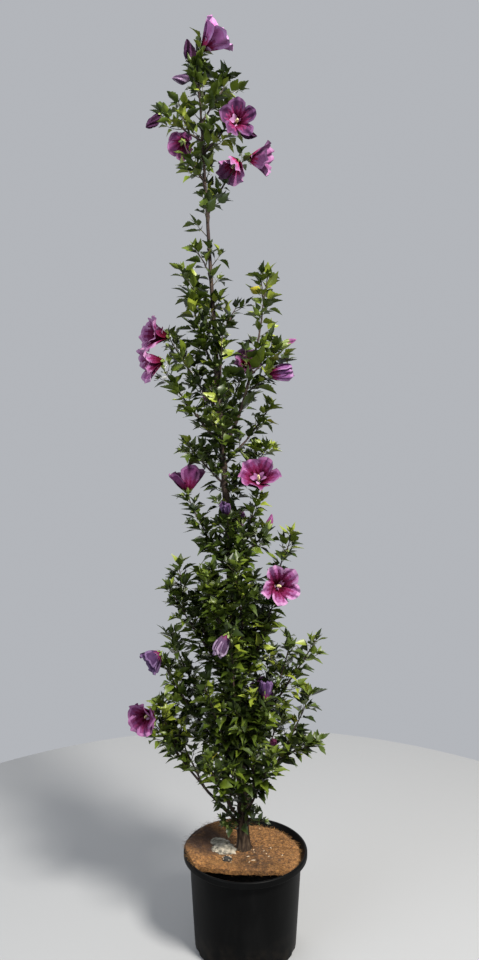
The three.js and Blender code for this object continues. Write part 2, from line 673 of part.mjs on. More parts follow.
// The mat of coconut fibre: a ring with a straight front edge and a slit. It lies level on the
// soil, and its left edge curls up and over the rim.
function matSolid() {
  const { radius, thickness, frontCut, hole, slit, curl, overhang, curlAzimuth, segments, rings } = MAT;
  const shares = Array.from({ length: rings + 1 }, (_, i) => i / rings);
  const below = shares.map((share) => [share, 0]);
  const above = shares.map((share) => [share, 1]).reverse();
  const profile = [...below, ...above, [0, 0]];
  const geometry = lathe(profile, segments);
  const positions = geometry.getAttribute('position');
  for (let i = 0; i < positions.count; i++) {
    const [share, level] = profile[i % profile.length];
    const angle = (Math.floor(i / profile.length) / segments) * 2 * Math.PI;
    const facing = Math.cos(angle - THREE.MathUtils.degToRad(curlAzimuth));
    const lift = curl * THREE.MathUtils.smoothstep(facing, 0.25, 0.75);
    const reach = overhang * THREE.MathUtils.smoothstep(facing, 0.72, 0.95);
    const edge = radius + reach + MAT.fray * Math.sin(MAT.waves * angle);
    const inner = new THREE.Vector2(TRUNK.x + hole * Math.cos(angle), TRUNK.y + hole * Math.sin(angle));
    const outer = new THREE.Vector2(edge * Math.cos(angle), Math.max(edge * Math.sin(angle), -frontCut));
    const place = inner.lerp(outer, share);
    const rise = lift * Math.pow(THREE.MathUtils.clamp(place.length() / radius, 0, 1), 3);
    positions.setXYZ(i, place.x, place.y, SOIL_TOP + GAP + rise + level * thickness);
  }
  const cut = new THREE.BoxGeometry(radius, slit, 6 * thickness)
    .translate(TRUNK.x + hole / 2 + radius / 2, TRUNK.y, SOIL_TOP);
  return solidOf(geometry).subtract(solidOf(cut));
}

// A flat pale stone that is bedded on the mat.
function stoneSolid(mat) {
  const { x, y, length, width, thickness, turn, bedded } = STONE;
  const geometry = new THREE.IcosahedronGeometry(1, 1).scale(length / 2, width / 2, thickness / 2)
    .rotateZ(THREE.MathUtils.degToRad(turn))
    .translate(x, y, SOIL_TOP + MAT.thickness + thickness / 2 - bedded);
  return largestBody(solidOf(geometry).subtract(mat.translate([0, 0, GAP])));
}

// ---------- materials and assembly ----------

const finish = (color, roughness) => new THREE.MeshStandardMaterial({ color, roughness, metalness: 0 });
const MATERIALS = {
  pot: finish(0x16181a, 0.55),
  soil: finish(0x2a2019, 0.95),
  mat: finish(0xa8713f, 0.95),
  stone: finish(0xb9b8b0, 0.85),
  bark: finish(0x6f6259, 0.85),
  foliage: finish(0x4d6b2a, 0.6),
};

const plant = new THREE.Group();
function addPart(name, solid, material) {
  const mesh = new THREE.Mesh(geometryOf(solid), material);
  mesh.name = name;
  plant.add(mesh);
}

addPart('pot', potSolid(), MATERIALS.pot);
addPart('soil', soilSolid(), MATERIALS.soil);
const mat = matSolid();
addPart('coir_mat', mat, MATERIALS.mat);
addPart('pale_stone', stoneSolid(mat), MATERIALS.stone);
addPart('trunk', trunkSolid(), MATERIALS.bark);

const trunkSleeve = trunkSolid(GAP);
LIMBS.forEach((limb, index) => {
  if (limb.bare) {
    const line = limbLine(limb);
    const bough = stretch(line, 0, limb.bare, (share) => limbRadius(line, share), LIMB.sides, LIMB.rings);
    addPart(`bough_${limb.name}`, largestBody(bough.subtract(trunkSleeve)), MATERIALS.bark);
  }
  addPart(`foliage_${limb.name}`, foliageMass(limb, index, trunkSleeve), MATERIALS.foliage);
});

export default plant;
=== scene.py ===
# %% [markdown]
# # A potted rose of sharon
# The real plant is a slim, tall flowering shrub that grows as a pillar out of a black nursery
# pot. The CAD frame holds its measured solids: pot, potting mix, mat, stone, trunk, boughs and
# the masses of foliage, each with a few large leaves. This script gives every one of them its
# fine shape and its finish. Everything is in metres, +Z is up and -Y is the front.

# %% Load the frame
import math
import random
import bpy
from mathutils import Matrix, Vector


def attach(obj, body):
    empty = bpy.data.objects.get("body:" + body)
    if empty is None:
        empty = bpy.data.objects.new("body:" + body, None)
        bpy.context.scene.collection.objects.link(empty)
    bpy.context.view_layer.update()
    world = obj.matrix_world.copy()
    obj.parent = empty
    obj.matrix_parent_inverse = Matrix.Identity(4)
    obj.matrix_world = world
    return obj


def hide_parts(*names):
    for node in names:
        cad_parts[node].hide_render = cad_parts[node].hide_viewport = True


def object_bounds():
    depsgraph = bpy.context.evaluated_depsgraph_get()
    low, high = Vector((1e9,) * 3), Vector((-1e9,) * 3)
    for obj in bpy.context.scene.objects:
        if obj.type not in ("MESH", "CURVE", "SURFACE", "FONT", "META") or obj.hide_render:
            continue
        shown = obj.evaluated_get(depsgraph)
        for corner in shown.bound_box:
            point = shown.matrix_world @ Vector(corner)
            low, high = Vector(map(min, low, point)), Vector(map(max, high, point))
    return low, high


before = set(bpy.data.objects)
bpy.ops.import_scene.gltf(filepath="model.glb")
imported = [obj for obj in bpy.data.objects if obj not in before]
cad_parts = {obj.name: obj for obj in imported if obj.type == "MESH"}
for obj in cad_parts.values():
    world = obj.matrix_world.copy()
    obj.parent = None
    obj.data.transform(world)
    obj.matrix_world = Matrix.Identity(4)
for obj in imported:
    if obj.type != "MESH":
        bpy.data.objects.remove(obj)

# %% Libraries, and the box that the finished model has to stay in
from types import SimpleNamespace

import bmesh
import bpy
import numpy as np
from mathutils import Matrix, Vector, noise

CAD_BOX = [list(corner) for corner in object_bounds()]
NODES = sorted(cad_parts)
print("nodes:", len(NODES), "box:", [[round(v, 3) for v in corner] for corner in CAD_BOX])

# %% [markdown]
# ## Camera
# The view is upright and level, from two metres off and at chest height. A wide lens is what
# makes the pot show its top and the tip of the plant lean away. The focal length is given in
# pixels of the finished picture, and turned into millimetres of a 36 mm sensor, which Blender
# lays along the picture's long side.

# %% Place the camera
PICTURE_HEIGHT = 960
FOCAL_LENGTH_PIXELS = 686
SENSOR = 36
CAMERA_PLACE = (-0.0175, -2.005, 1.343)


def placed(name, data):
    made = bpy.data.objects.new(name, data)
    bpy.context.collection.objects.link(made)
    return made


camera = placed("camera", bpy.data.cameras.new("camera"))
camera.data.sensor_width = SENSOR
camera.data.lens = SENSOR * FOCAL_LENGTH_PIXELS / PICTURE_HEIGHT
camera.location = CAMERA_PLACE
camera.rotation_euler = (math.radians(90), 0, 0)
bpy.context.scene.camera = camera
print("lens:", round(camera.data.lens, 2), "mm")

# %% [markdown]
# ## Floor and light
# A round, pale floor under soft studio light shows a dark, glossy plant best. One large lamp
# stands in for the sun, high on the right and a little in front. A weaker one on the left
# opens the shadows and a third from behind draws the edges of the leaves. They are area lamps,
# because a point lamp would give hard black shadows inside the crown.

# %% Make the floor
FLOOR = SimpleNamespace(radius=1.7, paint=(0.285, 0.29, 0.298), roughness=0.9)


def plain_finish(name, colour, roughness):
    made = bpy.data.materials.new(name)
    made.use_nodes = True
    shader = made.node_tree.nodes["Principled BSDF"]
    shader.inputs["Base Color"].default_value = (*colour, 1)
    shader.inputs["Roughness"].default_value = roughness
    return made


shape = bmesh.new()
bmesh.ops.create_circle(shape, cap_ends=True, segments=96, radius=FLOOR.radius)
mesh = bpy.data.meshes.new("floor")
shape.to_mesh(mesh)
shape.free()
mesh.materials.append(plain_finish("floor_paint", FLOOR.paint, FLOOR.roughness))
floor = placed("floor", mesh)
print("floor:", 2 * FLOOR.radius, "m across")

# %% Set up the lamps and the pale surroundings
LAMPS = {
    "sun_lamp": dict(place=(1.9, -2.3, 4.0), size=1.1, power=470, colour=(1.0, 0.965, 0.9)),
    "fill_lamp": dict(place=(-3.0, -2.4, 2.2), size=3.0, power=82, colour=(0.86, 0.93, 1.0)),
    "back_lamp": dict(place=(-0.9, 2.9, 3.6), size=2.2, power=60, colour=(1.0, 0.98, 0.95)),
}
LIT_POINT = Vector((0, 0, 1.2))
SURROUNDINGS = SimpleNamespace(colour=(0.60, 0.62, 0.66), strength=0.75)

for name, lamp in LAMPS.items():
    data = bpy.data.lights.new(name, "AREA")
    data.shape = "DISK"
    data.size = lamp["size"]
    data.energy = lamp["power"]
    data.color = lamp["colour"]
    light = placed(name, data)
    light.location = lamp["place"]
    light.rotation_euler = (LIT_POINT - light.location).to_track_quat("-Z", "Y").to_euler()

world = bpy.data.worlds.new("studio")
world.use_nodes = True
backdrop = world.node_tree.nodes["Background"]
backdrop.inputs["Color"].default_value = (*SURROUNDINGS.colour, 1)
backdrop.inputs["Strength"].default_value = SURROUNDINGS.strength
bpy.context.scene.world = world
bpy.context.scene.view_settings.view_transform = "Standard"
print("lamps:", ", ".join(LAMPS))

# %% [markdown]
# ## Finishes
# None of these surfaces has one flat colour. A finish here is a noise that drifts between a few
# tones and raises the surface a little where it is lighter. The noise is measured in metres on
# the Object coordinates, and a stretch turns its round specks into streaks, as on bark. A
# painted image would do the same, but it would need unwrapping and would not scale.

# %% Make and join shader nodes
def node(tree, kind, values=None):
    made = tree.nodes.new(f"ShaderNode{kind}")
    for socket, value in (values or {}).items():
        made.inputs[socket].default_value = value
    return made


def wire(tree, *pairs):
    for source, target in pairs:
        tree.links.new(source, target)


# %% A finish from tones, a grain and a relief
def finish(name, tones, grain, roughness, relief=0.0, stretch=(1, 1, 1), spread=0.18, gloss=0.5):
    made = bpy.data.materials.new(name)
    made.use_nodes = True
    tree = made.node_tree
    shader = tree.nodes["Principled BSDF"]
    shader.inputs["Roughness"].default_value = roughness
    shader.inputs["Specular IOR Level"].default_value = gloss
    where = node(tree, "TexCoord")
    scaled = node(tree, "Mapping", {"Scale": [share / grain for share in stretch]})
    cloud = node(tree, "TexNoise", {"Scale": 1, "Detail": 5})
    ramp = node(tree, "ValToRGB")
    stops = ramp.color_ramp.elements
    for place, tone in zip(np.linspace(0.5 - spread, 0.5 + spread, len(tones)), tones):
        stop = stops.new(place)
        stop.color = (*tone, 1)
    stops.remove(stops[0])
    stops.remove(stops[-1])
    wire(tree, (where.outputs["Object"], scaled.inputs["Vector"]),
         (scaled.outputs["Vector"], cloud.inputs["Vector"]),
         (cloud.outputs["Fac"], ramp.inputs["Fac"]),
         (ramp.outputs["Color"], shader.inputs["Base Color"]))
    if relief:
        bump = node(tree, "Bump", {"Distance": relief})
        wire(tree, (cloud.outputs["Fac"], bump.inputs["Height"]),
             (bump.outputs["Normal"], shader.inputs["Normal"]))
    return made


# %% [markdown]
# ## From a shape to a piece
# Every piece needs the same last steps: a mesh from the bmesh, smooth shading that stays sharp
# at real corners, a finish, a place under the root body, and the frame's nodes that it stands
# for hidden. Two short functions keep these steps in one place.

# %% Turn shapes into pieces of the model
def piece_from(shape, name, sharp=40):
    limit = math.radians(sharp)
    for edge in shape.edges:
        edge.smooth = len(edge.link_faces) != 2 or edge.calc_face_angle(0) < limit
    for face in shape.faces:
        face.smooth = True
    mesh = bpy.data.meshes.new(name)
    shape.to_mesh(mesh)
    shape.free()
    return placed(name, mesh)


def settle(piece, made, slot, *nodes):
    piece.data.materials.clear()
    piece.data.materials.append(made)
    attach(piece, "root")
    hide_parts(*nodes)
    triangles = sum(len(face.vertices) - 2 for face in piece.data.polygons)
    print(f"{piece.name}: {triangles} triangles, stands for {len(nodes)} nodes")


# %% [markdown]
# ## The pot
# It is a blow-moulded nursery pot: a thin wall that tapers to the foot, a deep rolled rim with
# a fine bead under it, and drain holes round the foot. Such a round shape is quickest as a
# profile that is spun about the axis. The rim's roundings are arcs in that profile, so that
# they catch a clean line of light, and the holes are cut with one Boolean at the end.

# %% Spin the wall of the pot
POT = SimpleNamespace(height=0.270, rim_radius=0.180, lip_radius=0.172, shoulder_radius=0.164,
                      foot_radius=0.147, wall=0.003, floor=0.005, heel=0.004, middle=0.12)
RIM = SimpleNamespace(depth=0.018, rounding=0.003, underside=0.004, neck=(0.0006, 0.0008))
POT_STEPS = 128
BEAD = SimpleNamespace(z=0.2455, size=0.0016, out=0.0002)
PLAIN_WALL = np.linspace(0.02, 0.236, 8)


def wall_radius(z):
    return POT.foot_radius + (POT.shoulder_radius - POT.foot_radius) * z / POT.height


def arc(centre, radius, start, end, steps=6):
    angles = np.radians(np.linspace(start, end, steps + 1))
    return [(centre[0] + radius * math.cos(a), centre[1] + radius * math.sin(a)) for a in angles]


def inside(z):
    return wall_radius(z) - POT.wall, z


def pot_profile():
    under = POT.height - RIM.depth
    roll = (POT.rim_radius - POT.lip_radius) / 2
    profile = [(0, 0), *arc((POT.foot_radius - POT.heel, POT.heel), POT.heel, -90, 0)]
    profile += [(wall_radius(z), z) for z in PLAIN_WALL]
    profile += arc((wall_radius(BEAD.z) + BEAD.out, BEAD.z), BEAD.size, -80, 80)
    profile += [(wall_radius(under) + RIM.neck[0], under - RIM.neck[1])]
    profile += [(POT.rim_radius - RIM.underside, under)]
    profile += arc((POT.rim_radius - RIM.rounding, under + RIM.rounding), RIM.rounding, -80, 0, 4)
    profile += arc((POT.rim_radius - roll, POT.height - roll), roll, 0, 180, 12)
    return profile + [inside(under), inside(POT.middle), inside(POT.floor), (0, POT.floor)]


def spun(profile, steps):
    shape = bmesh.new()
    corners = [shape.verts.new((r, 0, z)) for r, z in profile]
    edges = [shape.edges.new(pair) for pair in zip(corners, corners[1:])]
    bmesh.ops.spin(shape, geom=corners + edges, cent=(0, 0, 0), axis=(0, 0, 1),
                   angle=math.tau, steps=steps, use_merge=True)
    bmesh.ops.remove_doubles(shape, verts=shape.verts, dist=1e-6)
    bmesh.ops.recalc_face_normals(shape, faces=shape.faces)
    return shape


pot = piece_from(spun(pot_profile(), POT_STEPS), "pot_shell", sharp=50)
print("pot:", len(pot.data.polygons), "faces, rim", 2 * POT.rim_radius, "m across")

# %% Cut the drain holes
DRAINS = SimpleNamespace(count=8, width=0.026, height=0.009, depth=0.016, rounding=0.0035, drop=0.001)


def drain_cutters():
    shape = bmesh.new()
    for i in range(DRAINS.count):
        made = bmesh.ops.create_cube(shape, size=1)["verts"]
        bmesh.ops.scale(shape, vec=(DRAINS.depth, DRAINS.width, 2 * DRAINS.height), verts=made)
        bmesh.ops.translate(shape, vec=(POT.foot_radius - POT.wall, 0, -DRAINS.drop), verts=made)
        turn = Matrix.Rotation((i + 0.5) / DRAINS.count * math.tau, 3, "Z")
        bmesh.ops.rotate(shape, cent=(0, 0, 0), matrix=turn, verts=made)
    level = [edge for edge in shape.edges if abs(edge.verts[0].co.z - edge.verts[1].co.z) < 1e-6]
    radial = [edge for edge in level if edge.verts[0].co.z > 0
              and abs(edge.verts[0].co.xy.length - edge.verts[1].co.xy.length) > DRAINS.depth / 2]
    bmesh.ops.bevel(shape, geom=radial, offset=DRAINS.rounding, offset_type="OFFSET", segments=4,
                    profile=0.5, affect="EDGES", material=-1)
    return piece_from(shape, "drain_cutters")


cutters = drain_cutters()
cut = pot.modifiers.new("drains", "BOOLEAN")
cut.operation = "DIFFERENCE"
cut.object = cutters
cut.solver = "EXACT"
graph = bpy.context.evaluated_depsgraph_get()
pot.data = bpy.data.meshes.new_from_object(pot.evaluated_get(graph))
pot.modifiers.clear()
bpy.data.objects.remove(cutters)
print("pot with", DRAINS.count, "drain holes:", len(pot.data.polygons), "faces")

# %% [markdown]
# ### Black plastic with dust
# Moulded black plastic is never quite black. It has a satin skin with long, faint scuffs, and
# dust and dried mud cling to the foot. The dust is a second tone that is mixed in by height and
# broken up by noise, so that it fades out upwards as splashes do. The same mixing, along
# another axis or round a point, will serve for bark, for the patches of painted shade on the
# mat and for the painted light and shade on the pale lump.

# %% Mix in a second tone
def toned(made, tone, start, end, grain, axis=None, centre=(0, 0, 0), patches=(0.35, 0.60)):
    tree = made.node_tree
    shader = tree.nodes["Principled BSDF"]
    base = shader.inputs["Base Color"].links[0].from_socket
    where = node(tree, "TexCoord")
    if axis:
        measure = node(tree, "SeparateXYZ")
        measured = measure.outputs[axis]
    else:
        measure = node(tree, "VectorMath")
        measure.operation = "DISTANCE"
        measure.inputs[1].default_value = centre
        measured = measure.outputs["Value"]
    fade = node(tree, "MapRange", {"From Min": start, "From Max": end})
    cloud = node(tree, "TexNoise", {"Scale": 1 / grain, "Detail": 6})
    patchy = node(tree, "MapRange", {"From Min": patches[0], "From Max": patches[1]})
    both = node(tree, "Math")
    both.operation = "MULTIPLY"
    mixed = node(tree, "Mix")
    mixed.data_type = "RGBA"
    mixed.inputs["B"].default_value = (*tone, 1)
    wire(tree, (where.outputs["Object"], measure.inputs[0]),
         (where.outputs["Object"], cloud.inputs["Vector"]),
         (measured, fade.inputs["Value"]),
         (cloud.outputs["Fac"], patchy.inputs["Value"]),
         (fade.outputs["Result"], both.inputs[0]),
         (patchy.outputs["Result"], both.inputs[1]),
         (both.outputs["Value"], mixed.inputs["Factor"]),
         (base, mixed.inputs["A"]),
         (mixed.outputs["Result"], shader.inputs["Base Color"]))


# %% Finish the pot
BLACKS = [(0.0014, 0.0014, 0.0015), (0.002, 0.0021, 0.0022), (0.0034, 0.0035, 0.0036)]
DUST = dict(tone=(0.019, 0.015, 0.011), start=0.085, end=0, grain=0.03, axis="Z", patches=(0.42, 0.78))

black_plastic = finish("black_plastic", BLACKS, grain=0.05, roughness=0.46, relief=0.0003,
                       stretch=(1, 1, 0.35), gloss=0.055)
toned(black_plastic, **DUST)
settle(pot, black_plastic, "pot_plastic", "pot")

# %% [markdown]
# ## A grid that is put into place
# Mats, stems and petals are all grids at heart: so many columns round or across, so many rows
# along. One helper makes Blender's own grid and then moves every corner to where a small
# function says it belongs. A seam where two borders meet is merged afterwards.

# %% Grid helpers
def patch(columns, rows, place):
    shape = bmesh.new()
    bmesh.ops.create_grid(shape, x_segments=columns, y_segments=rows, size=0.5)
    for corner in shape.verts:
        corner.co = place(corner.co.x + 0.5, corner.co.y + 0.5)
    return shape


def closed(shape):
    bmesh.ops.remove_doubles(shape, verts=shape.verts, dist=1e-5)
    bmesh.ops.holes_fill(shape, edges=[edge for edge in shape.edges if edge.is_boundary], sides=0)
    bmesh.ops.recalc_face_normals(shape, faces=shape.faces)
    return shape


def smoothstep(value, low, high):
    t = min(max((value - low) / (high - low), 0), 1)
    return t * t * (3 - 2 * t)


def rough(x, y, z, scale, seed=0):
    return noise.noise(Vector((x * scale + 17 * seed, y * scale, z * scale)))


# %% [markdown]
# ## Potting mix
# The mix fills the pot to a little under the rim. It shows only in front, where the mat stops
# short, and through the slit, so it needs a crumbly top there and can be plain below. A square
# grid is bent into a disc, given lumps by noise, and pulled down along its border to the floor.

# %% Fill the pot
GAP = 0.0003             # air under the mix, under the mat and under the trunk's foot
SOIL_TOP = 0.246
SOIL = SimpleNamespace(radius=0.1595, lumps=0.004, cells=110, clear=0.001,
                       front_dip=0.060, dip_start=0.030, dip_end=0.075)


def soil_point(u, v):
    a, b = 2 * u - 1, 2 * v - 1
    x, y = SOIL.radius * a * math.sqrt(1 - b * b / 2), SOIL.radius * b * math.sqrt(1 - a * a / 2)
    lump = rough(x, y, 0, 90) + 0.6 * rough(x, y, 0, 260, 1) - 1
    z = SOIL_TOP + SOIL.lumps * lump / 2
    z -= SOIL.front_dip * smoothstep(-y, SOIL.dip_start, SOIL.dip_end)
    narrowed = (wall_radius(z) - POT.wall) / SOIL.radius
    return Vector((x * narrowed, y * narrowed, z))


shape = patch(SOIL.cells, SOIL.cells, soil_point)
border = [edge for edge in shape.edges if edge.is_boundary]
made = bmesh.ops.extrude_edge_only(shape, edges=border)["geom"]
foot_ring = [item for item in made if isinstance(item, bmesh.types.BMVert)]
narrower = (wall_radius(POT.floor) - POT.wall - SOIL.clear) / SOIL.radius
for corner in foot_ring:
    corner.co = (corner.co.x * narrower, corner.co.y * narrower, POT.floor + GAP)
soil = piece_from(closed(shape), "potting_mix")
MIX_BROWNS = [(0.003, 0.002, 0.0015), (0.008, 0.0055, 0.004), (0.022, 0.015, 0.010)]
damp_mix = finish("damp_potting_mix", MIX_BROWNS, grain=0.006, roughness=0.95, relief=0.003)
settle(soil, damp_mix, "potting_mix", "soil")

# %% [markdown]
# ## The coconut fibre mat
# A round mat of matted coir keeps weeds down. It has been slit to get it round the trunk, cut
# straight at the front, and its left edge has curled up over the rim. The felt itself is a
# grid in rings round the trunk whose seam is left a little open as the slit. Noise gives it
# tufts, and an extrusion gives it its thickness. Its brown is darkened by painted shade in two
# patches: one on the left, and one in front round the trunk's foot.

# %% Felt of the mat
MAT = SimpleNamespace(radius=0.157, thickness=0.012, front_cut=0.096, hole=0.026, slit=0.055,
                      slit_azimuth=math.radians(5), curl=0.023, overhang=0.008,
                      curl_azimuth=math.radians(160), shoulder=0.012, shoulder_rise=0.012,
                      shoulder_azimuth=math.radians(214), worn=0.003, fray=0.0012, waves=9,
                      columns=230, rows=44, tufts=0.0021)
TRUNK = SimpleNamespace(x=-0.004, y=0.020, foot=SOIL_TOP + GAP, tip=2.480,
                        foot_radius=0.0155, tip_radius=0.0028, flare=0.011, flare_height=0.038,
                        lean=0.044, bend=0.007, drift=0.008, sway=0.003, waves=(3.1, 4.3), thinning=0.9)


def mat_point(angle, share):
    curling = math.cos(angle - MAT.curl_azimuth)
    shoulder = smoothstep(math.cos(angle - MAT.shoulder_azimuth), 0.62, 0.90)
    edge = MAT.radius + MAT.overhang * smoothstep(curling, 0.72, 0.95)
    edge += MAT.fray * math.sin(MAT.waves * angle)
    edge += MAT.shoulder * shoulder
    inner = Vector((TRUNK.x + MAT.hole * math.cos(angle), TRUNK.y + MAT.hole * math.sin(angle)))
    outer = Vector((edge * math.cos(angle), max(edge * math.sin(angle), -MAT.front_cut)))
    place = inner.lerp(outer, share)
    rise = max(MAT.curl * smoothstep(curling, 0.25, 0.75), MAT.shoulder_rise * shoulder)
    rise *= min(place.length / MAT.radius, 1) ** 3
    return Vector((place.x, place.y, SOIL_TOP + GAP + rise))


def mat_top(angle, share):
    place = mat_point(angle, share)
    tuft = rough(place.x, place.y, 0, 45, 2) + 0.7 * rough(place.x, place.y, 0, 150, 3)
    return place + Vector((0, 0, MAT.thickness + MAT.tufts * tuft - MAT.worn * smoothstep(share, 0.93, 1)))


def mat_angle(u):
    return MAT.slit_azimuth + MAT.slit / 2 + u * (math.tau - MAT.slit)


shape = patch(MAT.columns, MAT.rows, lambda u, v: mat_top(mat_angle(u), v))
made = bmesh.ops.extrude_face_region(shape, geom=shape.faces[:], use_keep_orig=True)["geom"]
lower = [item for item in made if isinstance(item, bmesh.types.BMVert)]
for corner in lower:
    corner.co.z -= MAT.thickness
bmesh.ops.recalc_face_normals(shape, faces=shape.faces)
felt = piece_from(shape, "coir_felt", sharp=60)
print("felt:", len(felt.data.polygons), "faces")

# %% Paint shade on the felt and finish it
COIR_BROWNS = [(0.048, 0.020, 0.0068), (0.148, 0.064, 0.0175), (0.34, 0.160, 0.047)]
# Two patches of painted shade darken the felt: one in front round the trunk's foot, one on the left.
SHADE_AT_FOOT = dict(tone=(0.070, 0.034, 0.0145), centre=(0.030, -0.046, 0.272), start=0.085, end=0.034,
             grain=0.009)
SHADE_ON_LEFT = dict(tone=(0.036, 0.0145, 0.0056), centre=(-0.124, 0.040, 0.272), start=0.096, end=0.052,
            grain=0.02)


# Mix both patches of painted shade into a finish.
def with_painted_shade(made, patches):
    toned(made, **SHADE_AT_FOOT)
    toned(made, **SHADE_ON_LEFT, patches=patches)


coir_felt = finish("coir_felt", COIR_BROWNS, grain=0.007, roughness=0.95, relief=0.002, spread=0.17)
with_painted_shade(coir_felt, patches=(0.20, 0.42))
settle(felt, coir_felt, "coir", "coir_mat")

# %% [markdown]
# ## Many small things in one mesh
# Fibres, twigs, leaves and petals come in thousands. As objects of their own they would choke
# the scene, and particles or instances would be lost when the model is exported. So each kind
# is gathered as arrays of points and faces in a heap, and one mesh is made of it at the end.

# %% The heap, and a round tube along a row of points
UP = np.array([0.0, 0.0, 1.0])


class Heap:
    def __init__(self):
        self.points, self.faces, self.total = [], [], 0

    def add(self, points, faces):
        self.points.append(points)
        self.faces += [[corner + self.total for corner in face] for face in faces]
        self.total += len(points)

    def piece(self, name):
        mesh = bpy.data.meshes.new(name)
        mesh.from_pydata(np.concatenate(self.points), [], self.faces)
        mesh.polygons.foreach_set("use_smooth", [True] * len(mesh.polygons))
        mesh.update()
        return placed(name, mesh)


def unit(vector):
    return vector / np.linalg.norm(vector)


def across(heading):
    side = np.cross(heading, UP)
    return unit(side) if np.linalg.norm(side) > 1e-3 else np.array([1.0, 0, 0])


def tube(points, radii, sides):
    points = np.asarray(points, float)
    headings = np.gradient(points, axis=0)
    headings /= np.linalg.norm(headings, axis=1)[:, None]
    angles = np.arange(sides) / sides * math.tau
    side = across(headings[0])
    rings = []
    for point, heading, radius in zip(points, headings, radii):
        side = unit(side - heading * (side @ heading))
        other = np.cross(heading, side)
        rings.append(point + radius * (np.outer(np.cos(angles), side) + np.outer(np.sin(angles), other)))
    faces = []
    for i in range(len(points) - 1):
        low, high = i * sides, (i + 1) * sides
        faces += [(low + j, low + (j + 1) % sides, high + (j + 1) % sides, high + j) for j in range(sides)]
    last = (len(points) - 1) * sides
    caps = [tuple(range(sides))[::-1], tuple(range(last, last + sides))]
    return np.concatenate(rings), faces + caps


sample = tube([(0, 0, i) for i in range(4)], [1] * 4, 3)
print("a tube of 4 points and 3 sides has", len(sample[1]), "faces")

# %% [markdown]
# ### Loose fibres
# Felt without fibres reads as carpet. Thousands of thin, bent hairs lie on it, most of them
# flat, and some stand off its cut edges. They vary from straw to dark brown, so they are dealt
# out to two heaps, and each heap gets a colour of its own.

# %% Scatter the fibres
FIBRES = SimpleNamespace(on_top=6200, on_edges=1500, radius=0.00022, shortest=0.008, longest=0.026,
                         straw_share=0.55, edge_length=0.42)


def fibre(rng, root, heading, length, lift):
    side = np.cross(heading, UP) * rng.uniform(-0.35, 0.35)
    bends = [0, 0.33, 0.7, 1]
    points = [root + heading * length * t + side * length * t * t + UP * lift * math.sin(math.pi * t)
              for t in bends]
    return tube(points, [FIBRES.radius * (1 - 0.4 * t) for t in bends], 3)


def scatter_fibres():
    rng = random.Random(41)
    heaps = {"fibres_straw": Heap(), "fibres_brown": Heap()}
    for i in range(FIBRES.on_top + FIBRES.on_edges):
        heap = heaps["fibres_straw" if rng.random() < FIBRES.straw_share else "fibres_brown"]
        angle = mat_angle(rng.random())
        length = rng.uniform(FIBRES.shortest, FIBRES.longest)
        turn = rng.uniform(0, math.tau)
        heading = np.array([math.cos(turn), math.sin(turn), 0])
        if i < FIBRES.on_top:
            share = math.sqrt(rng.random())
            root = np.array(mat_top(angle, share)) + UP * rng.uniform(-0.0004, 0.0006)
            inwards = np.array(mat_top(angle, max(share - 0.05, 0))) - root
            heading = unit(heading + unit(inwards) * (heading @ unit(inwards)))
            lift = rng.uniform(0, 0.0016)
        else:
            share = 1 if rng.random() < 0.8 else 0
            root = np.array(mat_top(angle, share)) - UP * rng.uniform(0.001, MAT.thickness - 0.002)
            away = unit(root - np.array(mat_top(angle, 0.5))) * (1 if share else 0.8)
            heading = unit(away + heading * 0.8 + UP * rng.uniform(-0.2, 0.5))
            length *= FIBRES.edge_length
            lift = 0.0005
        heap.add(*fibre(rng, root, heading, length, lift))
    return heaps


fibre_heaps = scatter_fibres()
STRAW_TONES = [(0.235, 0.112, 0.031), (0.46, 0.235, 0.073)]
BROWN_TONES = [(0.055, 0.026, 0.0095), (0.142, 0.068, 0.023)]
for name, tones, roughness in (("straw", STRAW_TONES, 0.8), ("brown", BROWN_TONES, 0.85)):
    hair = finish(f"{name}_fibre", tones, grain=0.02, roughness=roughness)
    # The fibres share the felt's two patches of painted shade.
    with_painted_shade(hair, patches=(0.25, 0.5))
    settle(fibre_heaps[f"fibres_{name}"].piece(f"fibres_{name}"), hair, "coir", "coir_mat")

# %% [markdown]
# ## The pale lump and the litter
# A flat, crusted pale lump lies on the mat on the left, with a peppered clod and a few wood
# chips beside it. Three squashed icospheres that overlap make the lump, and noise on three
# scales breaks their outline. Its crust is grey-green at the back, as painted shade, and a
# cream tone mixed in along Y brightens its front as painted sunlight.

# %% Shape the lump
LUMPS = [  # place, and size along its own length, width and height
    ((-0.079, 0.040, 0.2590), (0.031, 0.022, 0.0125)),
    ((-0.067, 0.001, 0.2590), (0.038, 0.027, 0.0140)),
    ((-0.052, 0.016, 0.2580), (0.022, 0.020, 0.0100)),
]
CRUST = [(0.30, 1.7), (0.16, 5.5), (0.07, 14)]  # depth and scale of each noise


def clod(shape, place, size, detail, seed):
    made = bmesh.ops.create_icosphere(shape, subdivisions=detail, radius=1)["verts"]
    for corner in made:
        x, y, z = corner.co
        swell = 1
        for depth, scale in CRUST:
            swell += depth * rough(x, y, z, scale, seed)
        corner.co = [place[i] + value * size[i] * swell for i, value in enumerate((x, y, z))]


shape = bmesh.new()
for seed, (place, size) in enumerate(LUMPS):
    clod(shape, place, size, 5, seed + 4)
lump = piece_from(shape, "pale_lump", sharp=180)
crust = finish("grey_crust", [(0.045, 0.042, 0.030), (0.11, 0.105, 0.085), (0.23, 0.215, 0.18)],
               grain=0.012, roughness=0.9, relief=0.0015)
# Painted sunlight: the crust turns cream towards the front, and its grey back is painted shade.
toned(crust, (0.37, 0.32, 0.245), start=0.010, end=-0.018, grain=0.012, axis="Y")
settle(lump, crust, "stone", "pale_stone")

